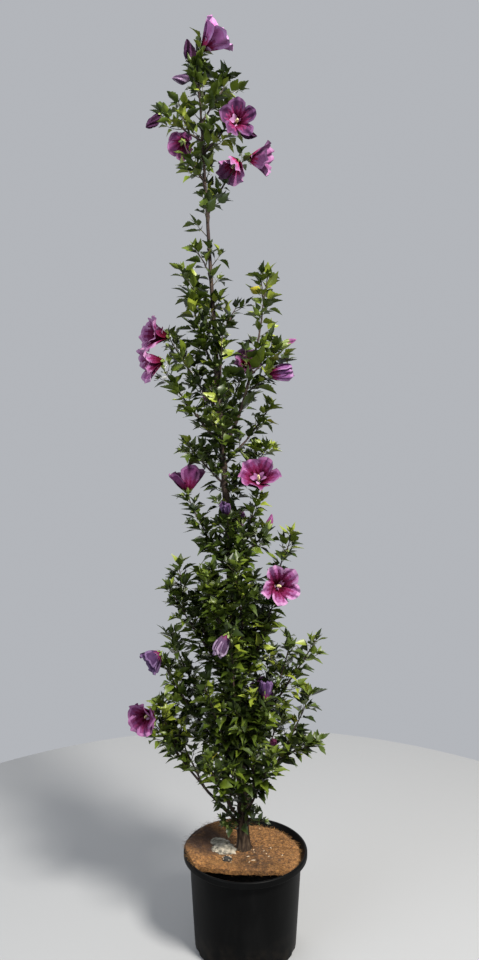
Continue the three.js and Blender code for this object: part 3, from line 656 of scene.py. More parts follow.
# %% Scatter the litter
CHIPS = SimpleNamespace(pale=20, dark=90, largest=0.0078)
NAMED_CHIPS = [  # place, length and turn in degrees
    (0.007, -0.031, 0.012, 20),
    (0.021, -0.051, 0.017, 12),
    (0.010, -0.060, 0.010, 65),
]
STREWN = SimpleNamespace(x=(-0.13, 0.14), y=(-0.095, 0.13), reach=0.14, left=-0.10)
HEAPED = SimpleNamespace(x=(0.030, 0.022), y=(0.004, 0.016))  # middle and spread


def chip(shape, x, y, length, turn, squash):
    z = SOIL_TOP + MAT.thickness + 0.0018
    place = Matrix.Translation((x, y, z)) @ Matrix.Rotation(turn, 4, "Z")
    size = Matrix.Diagonal((length, length * squash, length * 0.16, 1))
    bmesh.ops.create_icosphere(shape, subdivisions=1, radius=0.5, matrix=place @ size)


def litter(name, count, seed, largest, named=()):
    rng = random.Random(seed)
    shape = bmesh.new()
    for x, y, length, degrees in named:
        chip(shape, x, y, length, math.radians(degrees), 0.3)
    while count:
        x, y = rng.uniform(*STREWN.x), rng.uniform(*STREWN.y)
        if count % 2:
            x, y = rng.gauss(*HEAPED.x), rng.gauss(*HEAPED.y)
        if math.hypot(x, y) > STREWN.reach or x < STREWN.left:
            continue
        chip(shape, x, y, rng.uniform(0.3, 1) * largest, rng.uniform(0, math.tau), rng.uniform(0.25, 0.7))
        count -= 1
    return piece_from(shape, name, sharp=20)


pale_chip = finish("pale_chip", [(0.32, 0.22, 0.13), (0.56, 0.46, 0.33)], grain=0.01, roughness=0.85)
dark_chip = finish("dark_chip", [(0.018, 0.012, 0.008), (0.07, 0.04, 0.022)], grain=0.01, roughness=0.9)
settle(litter("pale_chips", CHIPS.pale, 7, CHIPS.largest, NAMED_CHIPS), pale_chip, "coir")
settle(litter("dark_chips", CHIPS.dark, 8, CHIPS.largest), dark_chip, "potting_mix")

# %% Shape the peppered clod and its specks
CLOD = ((-0.053, -0.047, 0.2600), (0.015, 0.012, 0.0085))  # place and size
CLOD_TONES = [(0.005, 0.005, 0.005), (0.014, 0.013, 0.011), (0.035, 0.030, 0.024)]
SPECKS = SimpleNamespace(count=16, sizes=(0.0010, 0.0022))


def specks():
    rng = random.Random(12)
    shape = bmesh.new()
    for seed in range(SPECKS.count):
        turn, height = rng.uniform(0, math.tau), rng.uniform(0.1, 0.9)
        level = math.sqrt(1 - height * height)
        on_ball = (level * math.cos(turn), level * math.sin(turn), height)
        place = [CLOD[0][i] + CLOD[1][i] * on_ball[i] for i in range(3)]
        clod(shape, place, (rng.uniform(*SPECKS.sizes),) * 3, 1, seed)
    return piece_from(shape, "clod_specks", sharp=180)


shape = bmesh.new()
clod(shape, *CLOD, 4, 9)
dark_clod = finish("dark_clod", CLOD_TONES, grain=0.0035, roughness=0.9, relief=0.001, spread=0.14)
settle(piece_from(shape, "peppered_clod", sharp=180), dark_clod, "stone")
settle(specks(), pale_chip, "stone")

# %% [markdown]
# ## How the shrub grows
# One trunk runs the whole height with a slight lean and sway. Limbs leave it at a slant and
# arch upwards, longer at the bottom than at the top, and some of them fork. All of that follows
# from one list, in which each limb has the height of its root, the way it points, how far it
# reaches out and how much it rises. Shares along a limb run from 0 at its root to 1 at its tip:
# `bare` is the stretch without leaves, which is seen as a bough. Everything finer grows from
# these lines by rule.

# %% Lines through space
class Line:
    def __init__(self, points):
        self.points = np.asarray(points, float)
        steps = np.linalg.norm(np.diff(self.points, axis=0), axis=1)
        self.marks = np.concatenate([[0], np.cumsum(steps)])
        self.length = self.marks[-1]

    def at(self, share):
        return np.array([np.interp(share * self.length, self.marks, column) for column in self.points.T])

    def heading(self, share):
        return unit(self.at(min(share + 0.02, 1)) - self.at(max(share - 0.02, 0)))

    def part(self, start, end, count):
        return [self.at(share) for share in np.linspace(start, end, count)]


def facing(azimuth, elevation=0):
    a, e = math.radians(azimuth), math.radians(elevation)
    return np.array([math.cos(a) * math.cos(e), math.sin(a) * math.cos(e), math.sin(e)])


def curve(root, knee, end, steps):
    t = np.linspace(0, 1, steps)[:, None]
    return Line((1 - t) ** 2 * root + 2 * t * (1 - t) * knee + t * t * end)


def arched(root, azimuth, reach, rise, knee=(0.52, 0.42)):
    out = facing(azimuth)
    middle = root + out * reach * knee[0] + UP * rise * knee[1]
    return curve(root, middle, root + out * reach + UP * rise, 41)


def trunk_at(z):
    s = z - TRUNK.foot
    x = TRUNK.x - TRUNK.lean * s - TRUNK.bend * s * s + TRUNK.sway * math.sin(TRUNK.waves[0] * s)
    return np.array([x, TRUNK.y - TRUNK.drift * s + TRUNK.sway * math.sin(TRUNK.waves[1] * s), z])


def trunk_radius(z):
    share = (z - TRUNK.foot) / (TRUNK.tip - TRUNK.foot)
    taper = TRUNK.foot_radius + (TRUNK.tip_radius - TRUNK.foot_radius) * share ** TRUNK.thinning
    return taper + TRUNK.flare * math.exp((TRUNK.foot - z) / TRUNK.flare_height)


def axis_beside(point):
    return trunk_at(min(point[2], TRUNK.tip))


print("tip of the trunk:", trunk_at(TRUNK.tip).round(3), "radius at the foot:", trunk_radius(TRUNK.foot))

# %% Forks, blooms and limbs
LIMBS = []


def fork(at, azimuth, reach, rise, lush=1):
    return SimpleNamespace(at=at, azimuth=azimuth, reach=reach, rise=rise, lush=lush)


# A bloom's `eye` is how far up the petal its dark eye reaches, and `clear` is the radius in
# front of it that leaves keep out of. `hanging` lets one petal droop, and `turn` says how the
# petals stand round the axis, both in degrees. Without a turn, they stand by chance.
def bloom(kind, azimuth, elevation, size=1, at=1, on_fork=None, rise=0, stalk=0.008, shape="wide",
          tint="rose", eye=0.28, slender=1, petaloids=3, hanging=0, clear=0, turn=None):
    return SimpleNamespace(kind=kind, azimuth=azimuth, elevation=elevation, size=size, at=at,
                           on_fork=on_fork, rise=rise, stalk=stalk, shape=shape, tint=tint, eye=eye,
                           slender=slender, petaloids=petaloids, hanging=hanging, clear=clear,
                           turn=turn)


def limb(name, height, azimuth, reach, rise, bare=0, knee=(0.52, 0.42), leaves_from=0.1, lush=1,
         leaf_size=1, forks=(), blooms=()):
    stem = arched(trunk_at(height), azimuth, reach, rise, knee)
    lines = [arched(stem.at(bare + side.at * (1 - bare)), side.azimuth, side.reach, side.rise)
             for side in forks]
    LIMBS.append(SimpleNamespace(name=name, height=height, azimuth=azimuth, bare=bare, stem=stem,
                                 forks=lines, fork_lush=[side.lush * lush for side in forks],
                                 leaves_from=leaves_from, lush=lush, leaf_size=leaf_size, blooms=blooms))


# %% Limbs at the foot of the crown
limb("foot", 0.3, 262, 0.034, 0.084, leaf_size=0.68, lush=0.8, leaves_from=0.4,
     forks=[fork(0.3, 196, 0.066, 0.078), fork(0.4, 346, 0.044, 0.046), fork(0.1, 214, 0.06, 0.04)])
limb("left_low", 0.318, 186, 0.262, 0.318, bare=0.3, leaves_from=0.6, lush=0.7,
     forks=[fork(0.55, 182, 0.06, 0.165, 1.1), fork(0.72, 200, 0.03, 0.1, 1.1),
            fork(0.4, 178, 0.08, 0.185), fork(0.15, 184, 0.09, 0.2)],
     blooms=[bloom("open", 240, 2, size=1.14, rise=0.036, stalk=0.013, shape="trumpet", eye=0.42)])
limb("front_left_low", 0.33, 236, 0.175, 0.235, bare=0.3, leaves_from=0.36, lush=0.8,
     forks=[fork(0.12, 284, 0.05, 0.12, 0.9)])
limb("front_right_low", 0.345, 300, 0.16, 0.24, bare=0.3, leaves_from=0.4,
     forks=[fork(0.14, 262, 0.05, 0.13, 0.9)],
     blooms=[bloom("furled", 276, 24, size=0.62, rise=0.04, tint="wine", clear=0.02)])
limb("right_low", 0.4, 356, 0.196, 0.172, bare=0.46, knee=(0.6, 0.85), lush=0.8, leaf_size=1.05,
     forks=[fork(0.2, 8, 0.1, 0.195, 0.8), fork(0.5, 350, 0.085, 0.04, 0.8)])
limb("back_right_low", 0.35, 48, 0.175, 0.26, bare=0.3, leaves_from=0.55, lush=0.85)
limb("back_low", 0.322, 98, 0.165, 0.25, leaves_from=0.55, lush=0.85,
     blooms=[bloom("open", 80, 15)])
limb("back_left_low", 0.372, 146, 0.19, 0.25, bare=0.3, leaves_from=0.62, lush=0.75)
print(len(LIMBS), "low limbs")

# %% Limbs in the middle of the broad lower crown
limb("left_middle", 0.478, 184, 0.232, 0.33,
     blooms=[bloom("open", 206, -34, size=0.9, rise=0.044, stalk=0.012, shape="bell", tint="violet",
                   eye=-0.04)])
limb("left_upright", 0.59, 177, 0.2, 0.3, knee=(0.74, 0.36), lush=0.75)
limb("front_left_middle", 0.47, 226, 0.15, 0.3, lush=1.1)
limb("front_middle", 0.525, 258, 0.14, 0.39, lush=1.1,
     forks=[fork(0.3, 318, 0.066, 0.092)],
     blooms=[bloom("lantern", 208, -62, size=0.94, rise=0.027, stalk=0.018, tint="pale", eye=-0.1,
                   slender=0.84, clear=0.02)])
limb("front_right_middle", 0.48, 305, 0.118, 0.275, lush=1.1,
     forks=[fork(0.42, 244, 0.062, 0.088)],
     blooms=[bloom("lantern", 80, 62, size=0.74, rise=-0.032, tint="violet", eye=-0.08, clear=0.024)])
limb("right_upright", 0.56, 2, 0.228, 0.312, lush=0.7, forks=[fork(0.36, 344, 0.06, 0.2)])
limb("back_right_middle", 0.5, 52, 0.165, 0.3,
     blooms=[bloom("open", 80, 20, size=0.8, at=0.6, tint="lilac")])
limb("back_middle", 0.545, 108, 0.16, 0.3,
     blooms=[bloom("furled", 100, 50, tint="violet")])
print(len(LIMBS), "limbs up to the middle of the lower crown")

# %% Limbs at the top of the lower crown
limb("left_high", 0.73, 185, 0.2, 0.3, lush=0.95,
     forks=[fork(0.4, 174, 0.03, 0.15), fork(0.3, 160, 0.024, 0.24), fork(0.75, 150, 0.02, 0.14, 0.9)])
limb("front_left_high", 0.69, 238, 0.112, 0.3, lush=1.15, forks=[fork(0.7, 190, 0.05, 0.18, 1.2)])
limb("front_high", 0.752, 284, 0.088, 0.272, lush=1.2, forks=[fork(0.7, 236, 0.04, 0.16, 1.2)])
limb("front_right_high", 0.716, 337, 0.128, 0.315,
     blooms=[bloom("open", 284, 8, size=1.14, at=0.92, rise=0.032, slender=0.82, eye=0.4, tint="pink")])
limb("right_high", 0.8, 7, 0.165, 0.375, lush=0.8)
limb("back_right_high", 0.738, 62, 0.112, 0.3, lush=1.1)
limb("back_left_high", 0.712, 126, 0.118, 0.32, lush=1.2,
     blooms=[bloom("open", 110, 10, size=0.8, at=0.66)])
print(len(LIMBS), "limbs in the lower crown")

# %% Limbs of the narrow waist
limb("left_flower_shoot", 1.06, 183, 0.128, 0.24, lush=0.95,
     blooms=[bloom("open", 110, 76, size=1.14, rise=0.004, shape="goblet", turn=302, hanging=42, eye=0.2,
                   clear=0.036)])
limb("right_flower_shoot", 1.04, 350, 0.082, 0.275, lush=0.85,
     forks=[fork(0.3, 6, 0.074, 0.064), fork(0.1, 300, 0.04, 0.075)],
     blooms=[bloom("open", 268, 34, size=1.08, rise=0.022, shape="bowl", petaloids=5, eye=0.42),
             bloom("bud", 20, 70, size=1.6, on_fork=0)])
limb("front_waist", 1.09, 262, 0.058, 0.148,
     blooms=[bloom("lantern", 250, 62, size=0.6, tint="violet", eye=-0.06)])
limb("back_waist", 1.04, 88, 0.082, 0.24, lush=0.8,
     blooms=[bloom("open", 90, 25, size=0.75, at=0.7, tint="lilac")])
print(len(LIMBS), "limbs up to the waist")

# %% Limbs of the upper crown
limb("left_lower_mid", 1.33, 188, 0.112, 0.118, lush=1.2)
limb("left_flower_mid", 1.445, 182, 0.17, 0.218, lush=0.75, leaf_size=1.1,
     blooms=[bloom("open", 206, -14, size=1.16, rise=0.034, shape="trumpet", tint="pink", eye=0.34,
                   hanging=95)])
limb("left_upper_mid", 1.54, 177, 0.152, 0.228, lush=0.88, leaf_size=1.1,
     blooms=[bloom("open", 214, 6, size=1.16, rise=-0.002, tint="pink", shape="trumpet", eye=0.42)])
limb("left_spire", 1.66, 192, 0.072, 0.22, knee=(0.8, 0.4), lush=0.78, leaf_size=1.15,
     forks=[fork(0.35, 350, 0.03, 0.13, 0.6), fork(0.8, 120, 0.012, 0.1)])
limb("right_leader", 1.44, 350, 0.134, 0.497, bare=0.2, knee=(0.62, 0.2), lush=0.6, leaf_size=1.18,
     forks=[fork(0.16, 345, 0.062, 0.054), fork(0.3, 8, 0.08, 0.076), fork(0.8, 150, 0.01, 0.09, 0.7)],
     blooms=[bloom("lantern", 352, 4, size=1.08, on_fork=0, tint="lilac", slender=0.86, eye=0.16,
                   clear=0.024),
             bloom("bud", 8, 26, size=1.7, rise=0.004, stalk=0.006, on_fork=1)])
limb("right_lower_mid", 1.3, 357, 0.12, 0.132, lush=1.15)
limb("right_mid", 1.385, 16, 0.145, 0.18, lush=0.75)
limb("front_mid", 1.37, 262, 0.084, 0.205, lush=0.8, leaf_size=1.12)
limb("front_upper_mid", 1.57, 280, 0.062, 0.185, lush=0.55, leaf_size=1.18)
limb("back_right_mid", 1.47, 50, 0.098, 0.215, lush=0.55,
     blooms=[bloom("open", 285, 15, size=1.04, shape="trumpet", tint="glow")])
limb("back_mid", 1.39, 105, 0.096, 0.23, lush=0.75,
     blooms=[bloom("open", 95, 10, size=0.85)])
print(len(LIMBS), "limbs up to the upper crown")

# %% Limbs of the thin stretch and the top
limb("right_thin", 1.75, 5, 0.062, 0.1, lush=0.5)
limb("left_thin", 1.95, 186, 0.038, 0.06, lush=0.6)
limb("right_top_low", 2.118, 357, 0.116, 0.168, knee=(0.42, 0.66), leaf_size=0.9, lush=0.75,
     blooms=[bloom("open", 350, -8, size=1.14, shape="fan", tint="glow", eye=0.16, slender=0.84),
             bloom("open", 222, -54, size=1.04, at=0.84, rise=0.02, shape="bell", tint="glow", eye=0.3)])
limb("left_top", 2.21, 190, 0.066, 0.122, leaf_size=0.95, lush=0.5,
     forks=[fork(0.1, 222, 0.034, 0.03)],
     blooms=[bloom("open", 104, 6, size=0.78, rise=0.004, clear=0.036)])
limb("back_top", 2.23, 92, 0.062, 0.16, leaf_size=0.9, lush=0.7,
     blooms=[bloom("furled", 85, 25)])
limb("right_top", 2.296, 336, 0.104, 0.098, lush=0.85,
     blooms=[bloom("open", 280, -6, size=0.98, rise=-0.03, slender=0.88, petaloids=4, eye=0.34,
                   tint="plum"),
             bloom("furled", 344, -24, size=0.8, at=0.9, rise=-0.03, stalk=0.026, tint="dark")])
limb("left_top_high", 2.335, 181, 0.122, 0.084, leaf_size=0.95, lush=0.8,
     forks=[fork(0.3, 165, 0.035, 0.1)],
     blooms=[bloom("furled", 200, -48, size=0.92, tint="dark")])
limb("right_top_high", 2.39, 3, 0.072, 0.118, leaf_size=1.1, lush=0.8,
     forks=[fork(0.6, 60, 0.006, 0.062)])
limb("tip", 2.48, 150, 0.012, 0.15, leaf_size=0.9, lush=0.85, leaves_from=0,
     forks=[fork(0, 184, 0.015, 0.044), fork(0.42, 0, 0.008, 0.09), fork(0.32, 186, 0.006, 0.024)],
     blooms=[bloom("furled", 196, -14, size=0.9, on_fork=0, tint="pale"),
             bloom("open", 338, 38, size=1.32, rise=-0.034, on_fork=1, shape="fan", tint="sunlit",
                   eye=0.12, slender=0.84),
             bloom("furled", 176, 72, size=1.2, on_fork=2, tint="dark")])
LINES = [line for grown in LIMBS for line in [grown.stem, *grown.forks]]
print(len(LIMBS), "limbs and", len(LINES) - len(LIMBS), "forks")

# %% [markdown]
# ## Trunk
# Young bark of this shrub is grey-brown, with shallow fissures along the stem, small raised
# pores, and a swollen collar under every limb. These are too deep for bump alone, because they
# show against the light at the stem's edge. So the stem is a fine grid rolled up round its
# line, and the corners move in and out: a stretched noise makes the fissures, and a smooth hump
# stands at the root of each limb.

# %% Roll up the trunk with its bark
BARK = SimpleNamespace(fissure=0.09, pores=0.035, columns=36, rows=560, streak=8, closer_below=1.12)
COLLAR = SimpleNamespace(swell=0.0033, below=0.002, height=0.012, width=0.75, reach=3)
RIBS = SimpleNamespace(count=5, turn=0.6, depth=0.0016, height=0.02)
LIMB_RADIUS = SimpleNamespace(root=0.0026, per_length=0.0072, tip=0.0012, fork=0.82)


def limb_radius(line, share, scale=1.0):
    root = LIMB_RADIUS.root + LIMB_RADIUS.per_length * line.length
    return scale * (root + (LIMB_RADIUS.tip - root) * share)


def fissured(angle, along, radius, seed=0):
    x, y = math.cos(angle) * 1.3, math.sin(angle) * 1.3
    ridges = abs(noise.noise(Vector((x * 2.2, y * 2.2, along * BARK.streak + seed))))
    pores = noise.noise(Vector((x * 5, y * 5, along * 90 + seed)))
    return radius * (1 + BARK.fissure * (ridges * 2 - 0.5) + BARK.pores * pores)


def collars(z, angle):
    swell = 0
    for grown in LIMBS:
        rise = (z - grown.height + COLLAR.below) / COLLAR.height
        if abs(rise) < COLLAR.reach:
            turn = math.remainder(angle - math.radians(grown.azimuth), math.tau) / COLLAR.width
            swell = max(swell, math.exp(-rise * rise - turn * turn))
    return swell


def trunk_point(u, v):
    z = TRUNK.foot + (TRUNK.tip - TRUNK.foot) * v ** BARK.closer_below
    angle = u * math.tau
    radius = fissured(angle, z, trunk_radius(z)) + COLLAR.swell * collars(z, angle)
    foot = math.exp((TRUNK.foot - z) / RIBS.height)
    radius += RIBS.depth * foot * math.cos(RIBS.count * angle + RIBS.turn)
    return Vector(trunk_at(z)) + Vector((math.cos(angle), math.sin(angle), 0)) * radius


trunk = piece_from(closed(patch(BARK.columns, BARK.rows, trunk_point)), "trunk_bark", sharp=80)
OLD_BARK_TONES = [(0.012, 0.007, 0.005), (0.033, 0.021, 0.013), (0.080, 0.056, 0.036)]
old_bark = finish("old_bark", OLD_BARK_TONES, grain=0.006, roughness=0.85, relief=0.0012,
                  stretch=(1, 1, 0.16), gloss=0.2)
toned(old_bark, (0.016, 0.010, 0.011), start=0.5, end=1.6, grain=0.004, axis="Z")
settle(trunk, old_bark, "bark", "trunk")

# %% [markdown]
# ### Boughs
# Seven of the limbs start bare. Their bare stretch is a bough of its own, in the same bark as
# the trunk, thickest at its root. Rolled grids again, only smaller, made in a loop.

# %% Roll up the boughs
BOUGH = SimpleNamespace(columns=18, rows=60, overlap=0.004)


def rolled(line, end, seed):
    side = across(line.heading(0))

    def place(u, v):
        share = end * v
        heading = line.heading(share)
        first = unit(side - heading * (side @ heading))
        second = np.cross(heading, first)
        angle = u * math.tau
        radius = fissured(angle, share * line.length, limb_radius(line, share), seed)
        return Vector(line.at(share) + radius * (math.cos(angle) * first + math.sin(angle) * second))

    return closed(patch(BOUGH.columns, BOUGH.rows, place))


for seed, grown in enumerate(LIMBS):
    if grown.bare:
        end = grown.bare + BOUGH.overlap / grown.stem.length
        bough = piece_from(rolled(grown.stem, end, seed), f"bough_bark_{grown.name}", sharp=80)
        settle(bough, old_bark, "bark", f"bough_{grown.name}")

# %% [markdown]
# ## Stems in the leaves
# Past the bare stretch the limbs are young wood, purplish brown and smooth, and they thin out to
# the width of a match. They are tubes along the same lines, with a faint zigzag from leaf to
# leaf, joined into one piece.

# %% Grow the stems
NODES_APART = 0.026
ZIGZAG = SimpleNamespace(stem=0.0016, fork=0.0012)
FOLIAGE = [f"foliage_{grown.name}" for grown in LIMBS]
assert set(FOLIAGE) <= set(NODES)


def zigzag(line, start, rng, size):
    count = max(6, round(line.length * (1 - start) / NODES_APART))
    points = line.part(start, 1, count + 1)
    side = across(line.heading(0.5))
    other = unit(np.cross(line.heading(0.5), side))
    return [point + (side * rng.uniform(-1, 1) + other * rng.uniform(-1, 1)) * size * (0 < i < count)
            for i, point in enumerate(points)]


def grow_stems():
    heap = Heap()
    for index, grown in enumerate(LIMBS):
        rng = random.Random(500 + index)
        points = zigzag(grown.stem, grown.bare, rng, ZIGZAG.stem)
        shares = np.linspace(grown.bare, 1, len(points))
        heap.add(*tube(points, [limb_radius(grown.stem, share) for share in shares], 8))
        for line in grown.forks:
            points = zigzag(line, 0, rng, ZIGZAG.fork)
            shares = np.linspace(0, 1, len(points))
            heap.add(*tube(points, [limb_radius(line, share, LIMB_RADIUS.fork) for share in shares], 8))
    return heap


YOUNG_BARK_TONES = [(0.010, 0.006, 0.006), (0.028, 0.016, 0.014), (0.055, 0.036, 0.026)]
young_bark = finish("young_bark", YOUNG_BARK_TONES, grain=0.008, roughness=0.6, relief=0.0006,
                    stretch=(1, 1, 0.3), gloss=0.25)
settle(grow_stems().piece("stems"), young_bark, "bark", *FOLIAGE)

# %% [markdown]
# ## Leaves
# The leaf is a toothed diamond with two shoulders, folded a little along its midrib, with its
# tip curling down. Two outlines, a broad one and a slim one, serve for all of them. Each is laid
# down as points from the foot to the tip, mirrored about the midrib, and joined to it by a row
# of faces on each side, so a leaf takes only a few dozen faces. Thousands of them are needed,
# and each is one of those two shapes, stretched, folded and turned in its own way.

# %% The leaf's outlines, and a blade from them
TEETH = {
    "broad": [(0, 0), (0.10, 0.05), (0.21, 0.14), (0.28, 0.25), (0.32, 0.37), (0.25, 0.43), (0.26, 0.53),
              (0.19, 0.58), (0.18, 0.68), (0.11, 0.75), (0.08, 0.87), (0, 1)],
    "slim": [(0, 0), (0.07, 0.07), (0.15, 0.19), (0.21, 0.34), (0.17, 0.42), (0.17, 0.53), (0.12, 0.60),
             (0.11, 0.71), (0.06, 0.79), (0.04, 0.89), (0, 1)],
}


def leaf_shape(kind):
    half = np.array(TEETH[kind])
    middle = len(half) - 2
    points = [(0, v) for v in half[:, 1]]
    points += [(u, v) for u, v in half[1:-1]]
    points += [(-u, v) for u, v in half[1:-1]]
    faces = []
    for first, flip in ((len(half), 1), (len(half) + middle, -1)):
        rim = [0, *range(first, first + middle), len(half) - 1]
        for i in range(len(half) - 1):
            face = list(dict.fromkeys([i, rim[i], rim[i + 1], i + 1]))
            faces.append(face[::flip])
    return np.array(points), faces


LEAF_SHAPES = {kind: leaf_shape(kind) for kind in TEETH}


def blade(kind, foot, heading, face, length, fold, curl, wave):
    flat, faces = LEAF_SHAPES[kind]
    side = unit(np.cross(heading, face))
    face = np.cross(side, heading)
    u, v = flat[:, 0], flat[:, 1]
    lift = fold * np.abs(u) - curl * v * v + wave * np.sin(7 * v) * u
    forward = v * (1 - 0.25 * curl * v)
    points = foot + length * (np.outer(u, side) + np.outer(forward, heading) + np.outer(lift, face))
    return points, faces


for kind, (points, faces) in LEAF_SHAPES.items():
    print(kind, "leaf:", len(points), "points,", len(faces), "faces")

# %% [markdown]
# ### Room to grow
# A leaf may not pass through the trunk, dip into the pot, or cover a flower, and it stays
# within a hand's breadth of its own stem, because that is the space of its mass of foliage.
# Leaves of neighbouring twigs also keep a little apart. A coarse grid of cells remembers where
# leaves already are, which is far quicker than asking every leaf. A flower's own room is a cone
# that opens along its aim, and some flowers keep a round view clear in front of them as well.

# %% Places and sizes of the flowers
BLOOM = SimpleNamespace(petal=0.058, depth=0.042, furled=0.066, furled_radius=0.014,
                        bud=0.034, bud_radius=0.0064)


def bloom_line(grown, flower):
    return grown.stem if flower.on_fork is None else grown.forks[flower.on_fork]


def bloom_seat(grown, flower):
    line = bloom_line(grown, flower)
    stalk = facing(flower.azimuth, flower.elevation) * flower.stalk + UP * flower.rise
    return line.at(min(flower.at, 0.98)) + stalk


FLOWERS = [(grown, flower) for grown in LIMBS for flower in grown.blooms]
SEATS = np.array([bloom_seat(grown, flower) for grown, flower in FLOWERS])
AIMS = np.array([facing(flower.azimuth, flower.elevation) for grown, flower in FLOWERS])
WIDTHS = np.array([(BLOOM.petal if flower.kind == "open" else BLOOM.furled_radius * 1.4) * flower.size
                   for grown, flower in FLOWERS])
DEPTHS = np.array([(BLOOM.depth if flower.kind == "open" else BLOOM.furled) * flower.size
                   for grown, flower in FLOWERS])
CLEAR = np.array([flower.clear for grown, flower in FLOWERS])
HEARTS = SEATS + AIMS * DEPTHS[:, None] * 0.6
print(len(FLOWERS), "flowers and buds keep their own room")

# %% Tests for room
ROOM = SimpleNamespace(trunk=0.005, pot=0.012, apart=0.0062, border=0.004, cell=0.02, spread=0.096)
CONE = SimpleNamespace(throat=0.010, behind=-0.006, beyond=0.022)
VIEW = SimpleNamespace(front=-0.13, back=0.01)
SPURS_FROM = 0.33
BOX_LOW, BOX_HIGH = np.array(CAD_BOX[0]) + ROOM.border, np.array(CAD_BOX[1]) - ROOM.border
TRUNK_LINE = Line([trunk_at(z) for z in np.linspace(SPURS_FROM, TRUNK.tip, 120)])
SPINES = {id(line): line.points for line in [*LINES, TRUNK_LINE]}
TAKEN = {}


def in_a_flower(point):
    ahead = ((point - SEATS) * AIMS).sum(axis=1)
    off = np.linalg.norm(point - SEATS - ahead[:, None] * AIMS, axis=1)
    within = off < CONE.throat + WIDTHS * np.clip(ahead / DEPTHS, 0, 1)
    within &= (ahead > CONE.behind) & (ahead < DEPTHS + CONE.beyond)
    apart = point - HEARTS
    before = np.hypot(apart[:, 0], apart[:, 2]) < CLEAR
    before &= (apart[:, 1] > VIEW.front) & (apart[:, 1] < VIEW.back)
    return (before | within).any()


def has_room(point, line):
    if (point < BOX_LOW).any() or (point > BOX_HIGH).any() or point[2] < POT.height + ROOM.pot:
        return False
    axis = axis_beside(point)
    if np.linalg.norm(point - axis) < trunk_radius(axis[2]) + ROOM.trunk:
        return False
    if in_a_flower(point):
        return False
    return np.linalg.norm(SPINES[id(line)] - point, axis=1).min() < ROOM.spread


def cell_of(point):
    return tuple(np.floor(point / ROOM.cell).astype(int))


def is_free(point, twig):
    i, j, k = cell_of(point)
    near = [other for a in (-1, 0, 1) for b in (-1, 0, 1) for c in (-1, 0, 1)
            for other in TAKEN.get((i + a, j + b, k + c), [])]
    return all(owner == twig or np.linalg.norm(other - point) > ROOM.apart for other, owner in near)


def take(point, twig):
    TAKEN.setdefault(cell_of(point), []).append((point, twig))


print("room from", BOX_LOW.round(3), "to", BOX_HIGH.round(3))

# %% [markdown]
# ### Twigs and their sprays
# Side twigs leave a stem one after another, each turned on by the golden angle, so that no two
# stand in line. They curve up towards the light and get shorter towards the stem's tip. Leaves
# sit on them in the same turning order, large at the foot and small in a tuft at the end. Their
# greens are painted light and shade dealt out by spray: dark greens low and inside the crown,
# light greens outside and higher up, and half the tufts a step darker. A few leaves here and
# there have turned yellow. Short spurs grow straight from the trunk as well, fewer of them on
# the thin stretch below the top, so that it isn't bare between its limbs.

# %% Sizes and colours of twigs and leaves
GOLDEN = math.radians(137.5)
TRIES = 3
SPUR = SimpleNamespace(apart=0.022, length=(0.020, 0.058), slant=(40, 74), leaf=0.050, sparse=(1.92, 2.12))
TWIG = SimpleNamespace(apart=0.0168, longest=0.105, shortest=0.022, shortening=0.66, slant=(34, 62),
                       radius=0.0013, tip=0.0007)
LEAF = SimpleNamespace(apart=0.0083, longest=0.057, shortest=0.044, tuft=(3, 4), tuft_size=(0.018, 0.038),
                       stalk=0.20, stalk_radius=0.0006, slant=(40, 76), yellowed=0.0016)
# The darker greens here are painted shade and the lighter ones painted sunlight; yellow is the colour of
# leaves that have turned.
TONES = {
    "deep": [(0.011, 0.020, 0.002), (0.021, 0.035, 0.003)],
    "green": [(0.026, 0.043, 0.003), (0.043, 0.066, 0.005)],
    "lit_green": [(0.056, 0.083, 0.006), (0.088, 0.120, 0.010)],
    "lime": [(0.125, 0.160, 0.013), (0.190, 0.225, 0.026)],
    "yellow": [(0.250, 0.225, 0.014), (0.350, 0.300, 0.030)],
}
DARKER = {"deep": "deep", "green": "deep", "lit_green": "green", "lime": "lit_green"}
SHADES = [("deep", 0.19), ("green", 0.41), ("lit_green", 0.61)]  # each up to so much light, then lime
LIGHT = SimpleNamespace(crown=0.20, outer=0.30, upper=0.16, chance=0.20)


# Painted light: the further out and higher a leaf is, the lighter its green.
def tone_for(point, rng):
    level = np.linalg.norm((point - axis_beside(point))[:2]) / LIGHT.crown
    light = LIGHT.outer * level + LIGHT.upper * point[2] + rng.gauss(0, LIGHT.chance)
    return next((shade for shade, limit in SHADES if light < limit), "lime")


def branching(heading, angle, slant):
    side = across(heading)
    radial = side * math.cos(angle) + np.cross(side, heading) * math.sin(angle)
    s = math.radians(slant)
    return unit(heading * math.cos(s) + radial * math.sin(s))


def outwards(point):
    level = (point - axis_beside(point)) * (1, 1, 0)
    return level / max(np.linalg.norm(level), 1e-6)


print("leaf colours:", ", ".join(TONES))

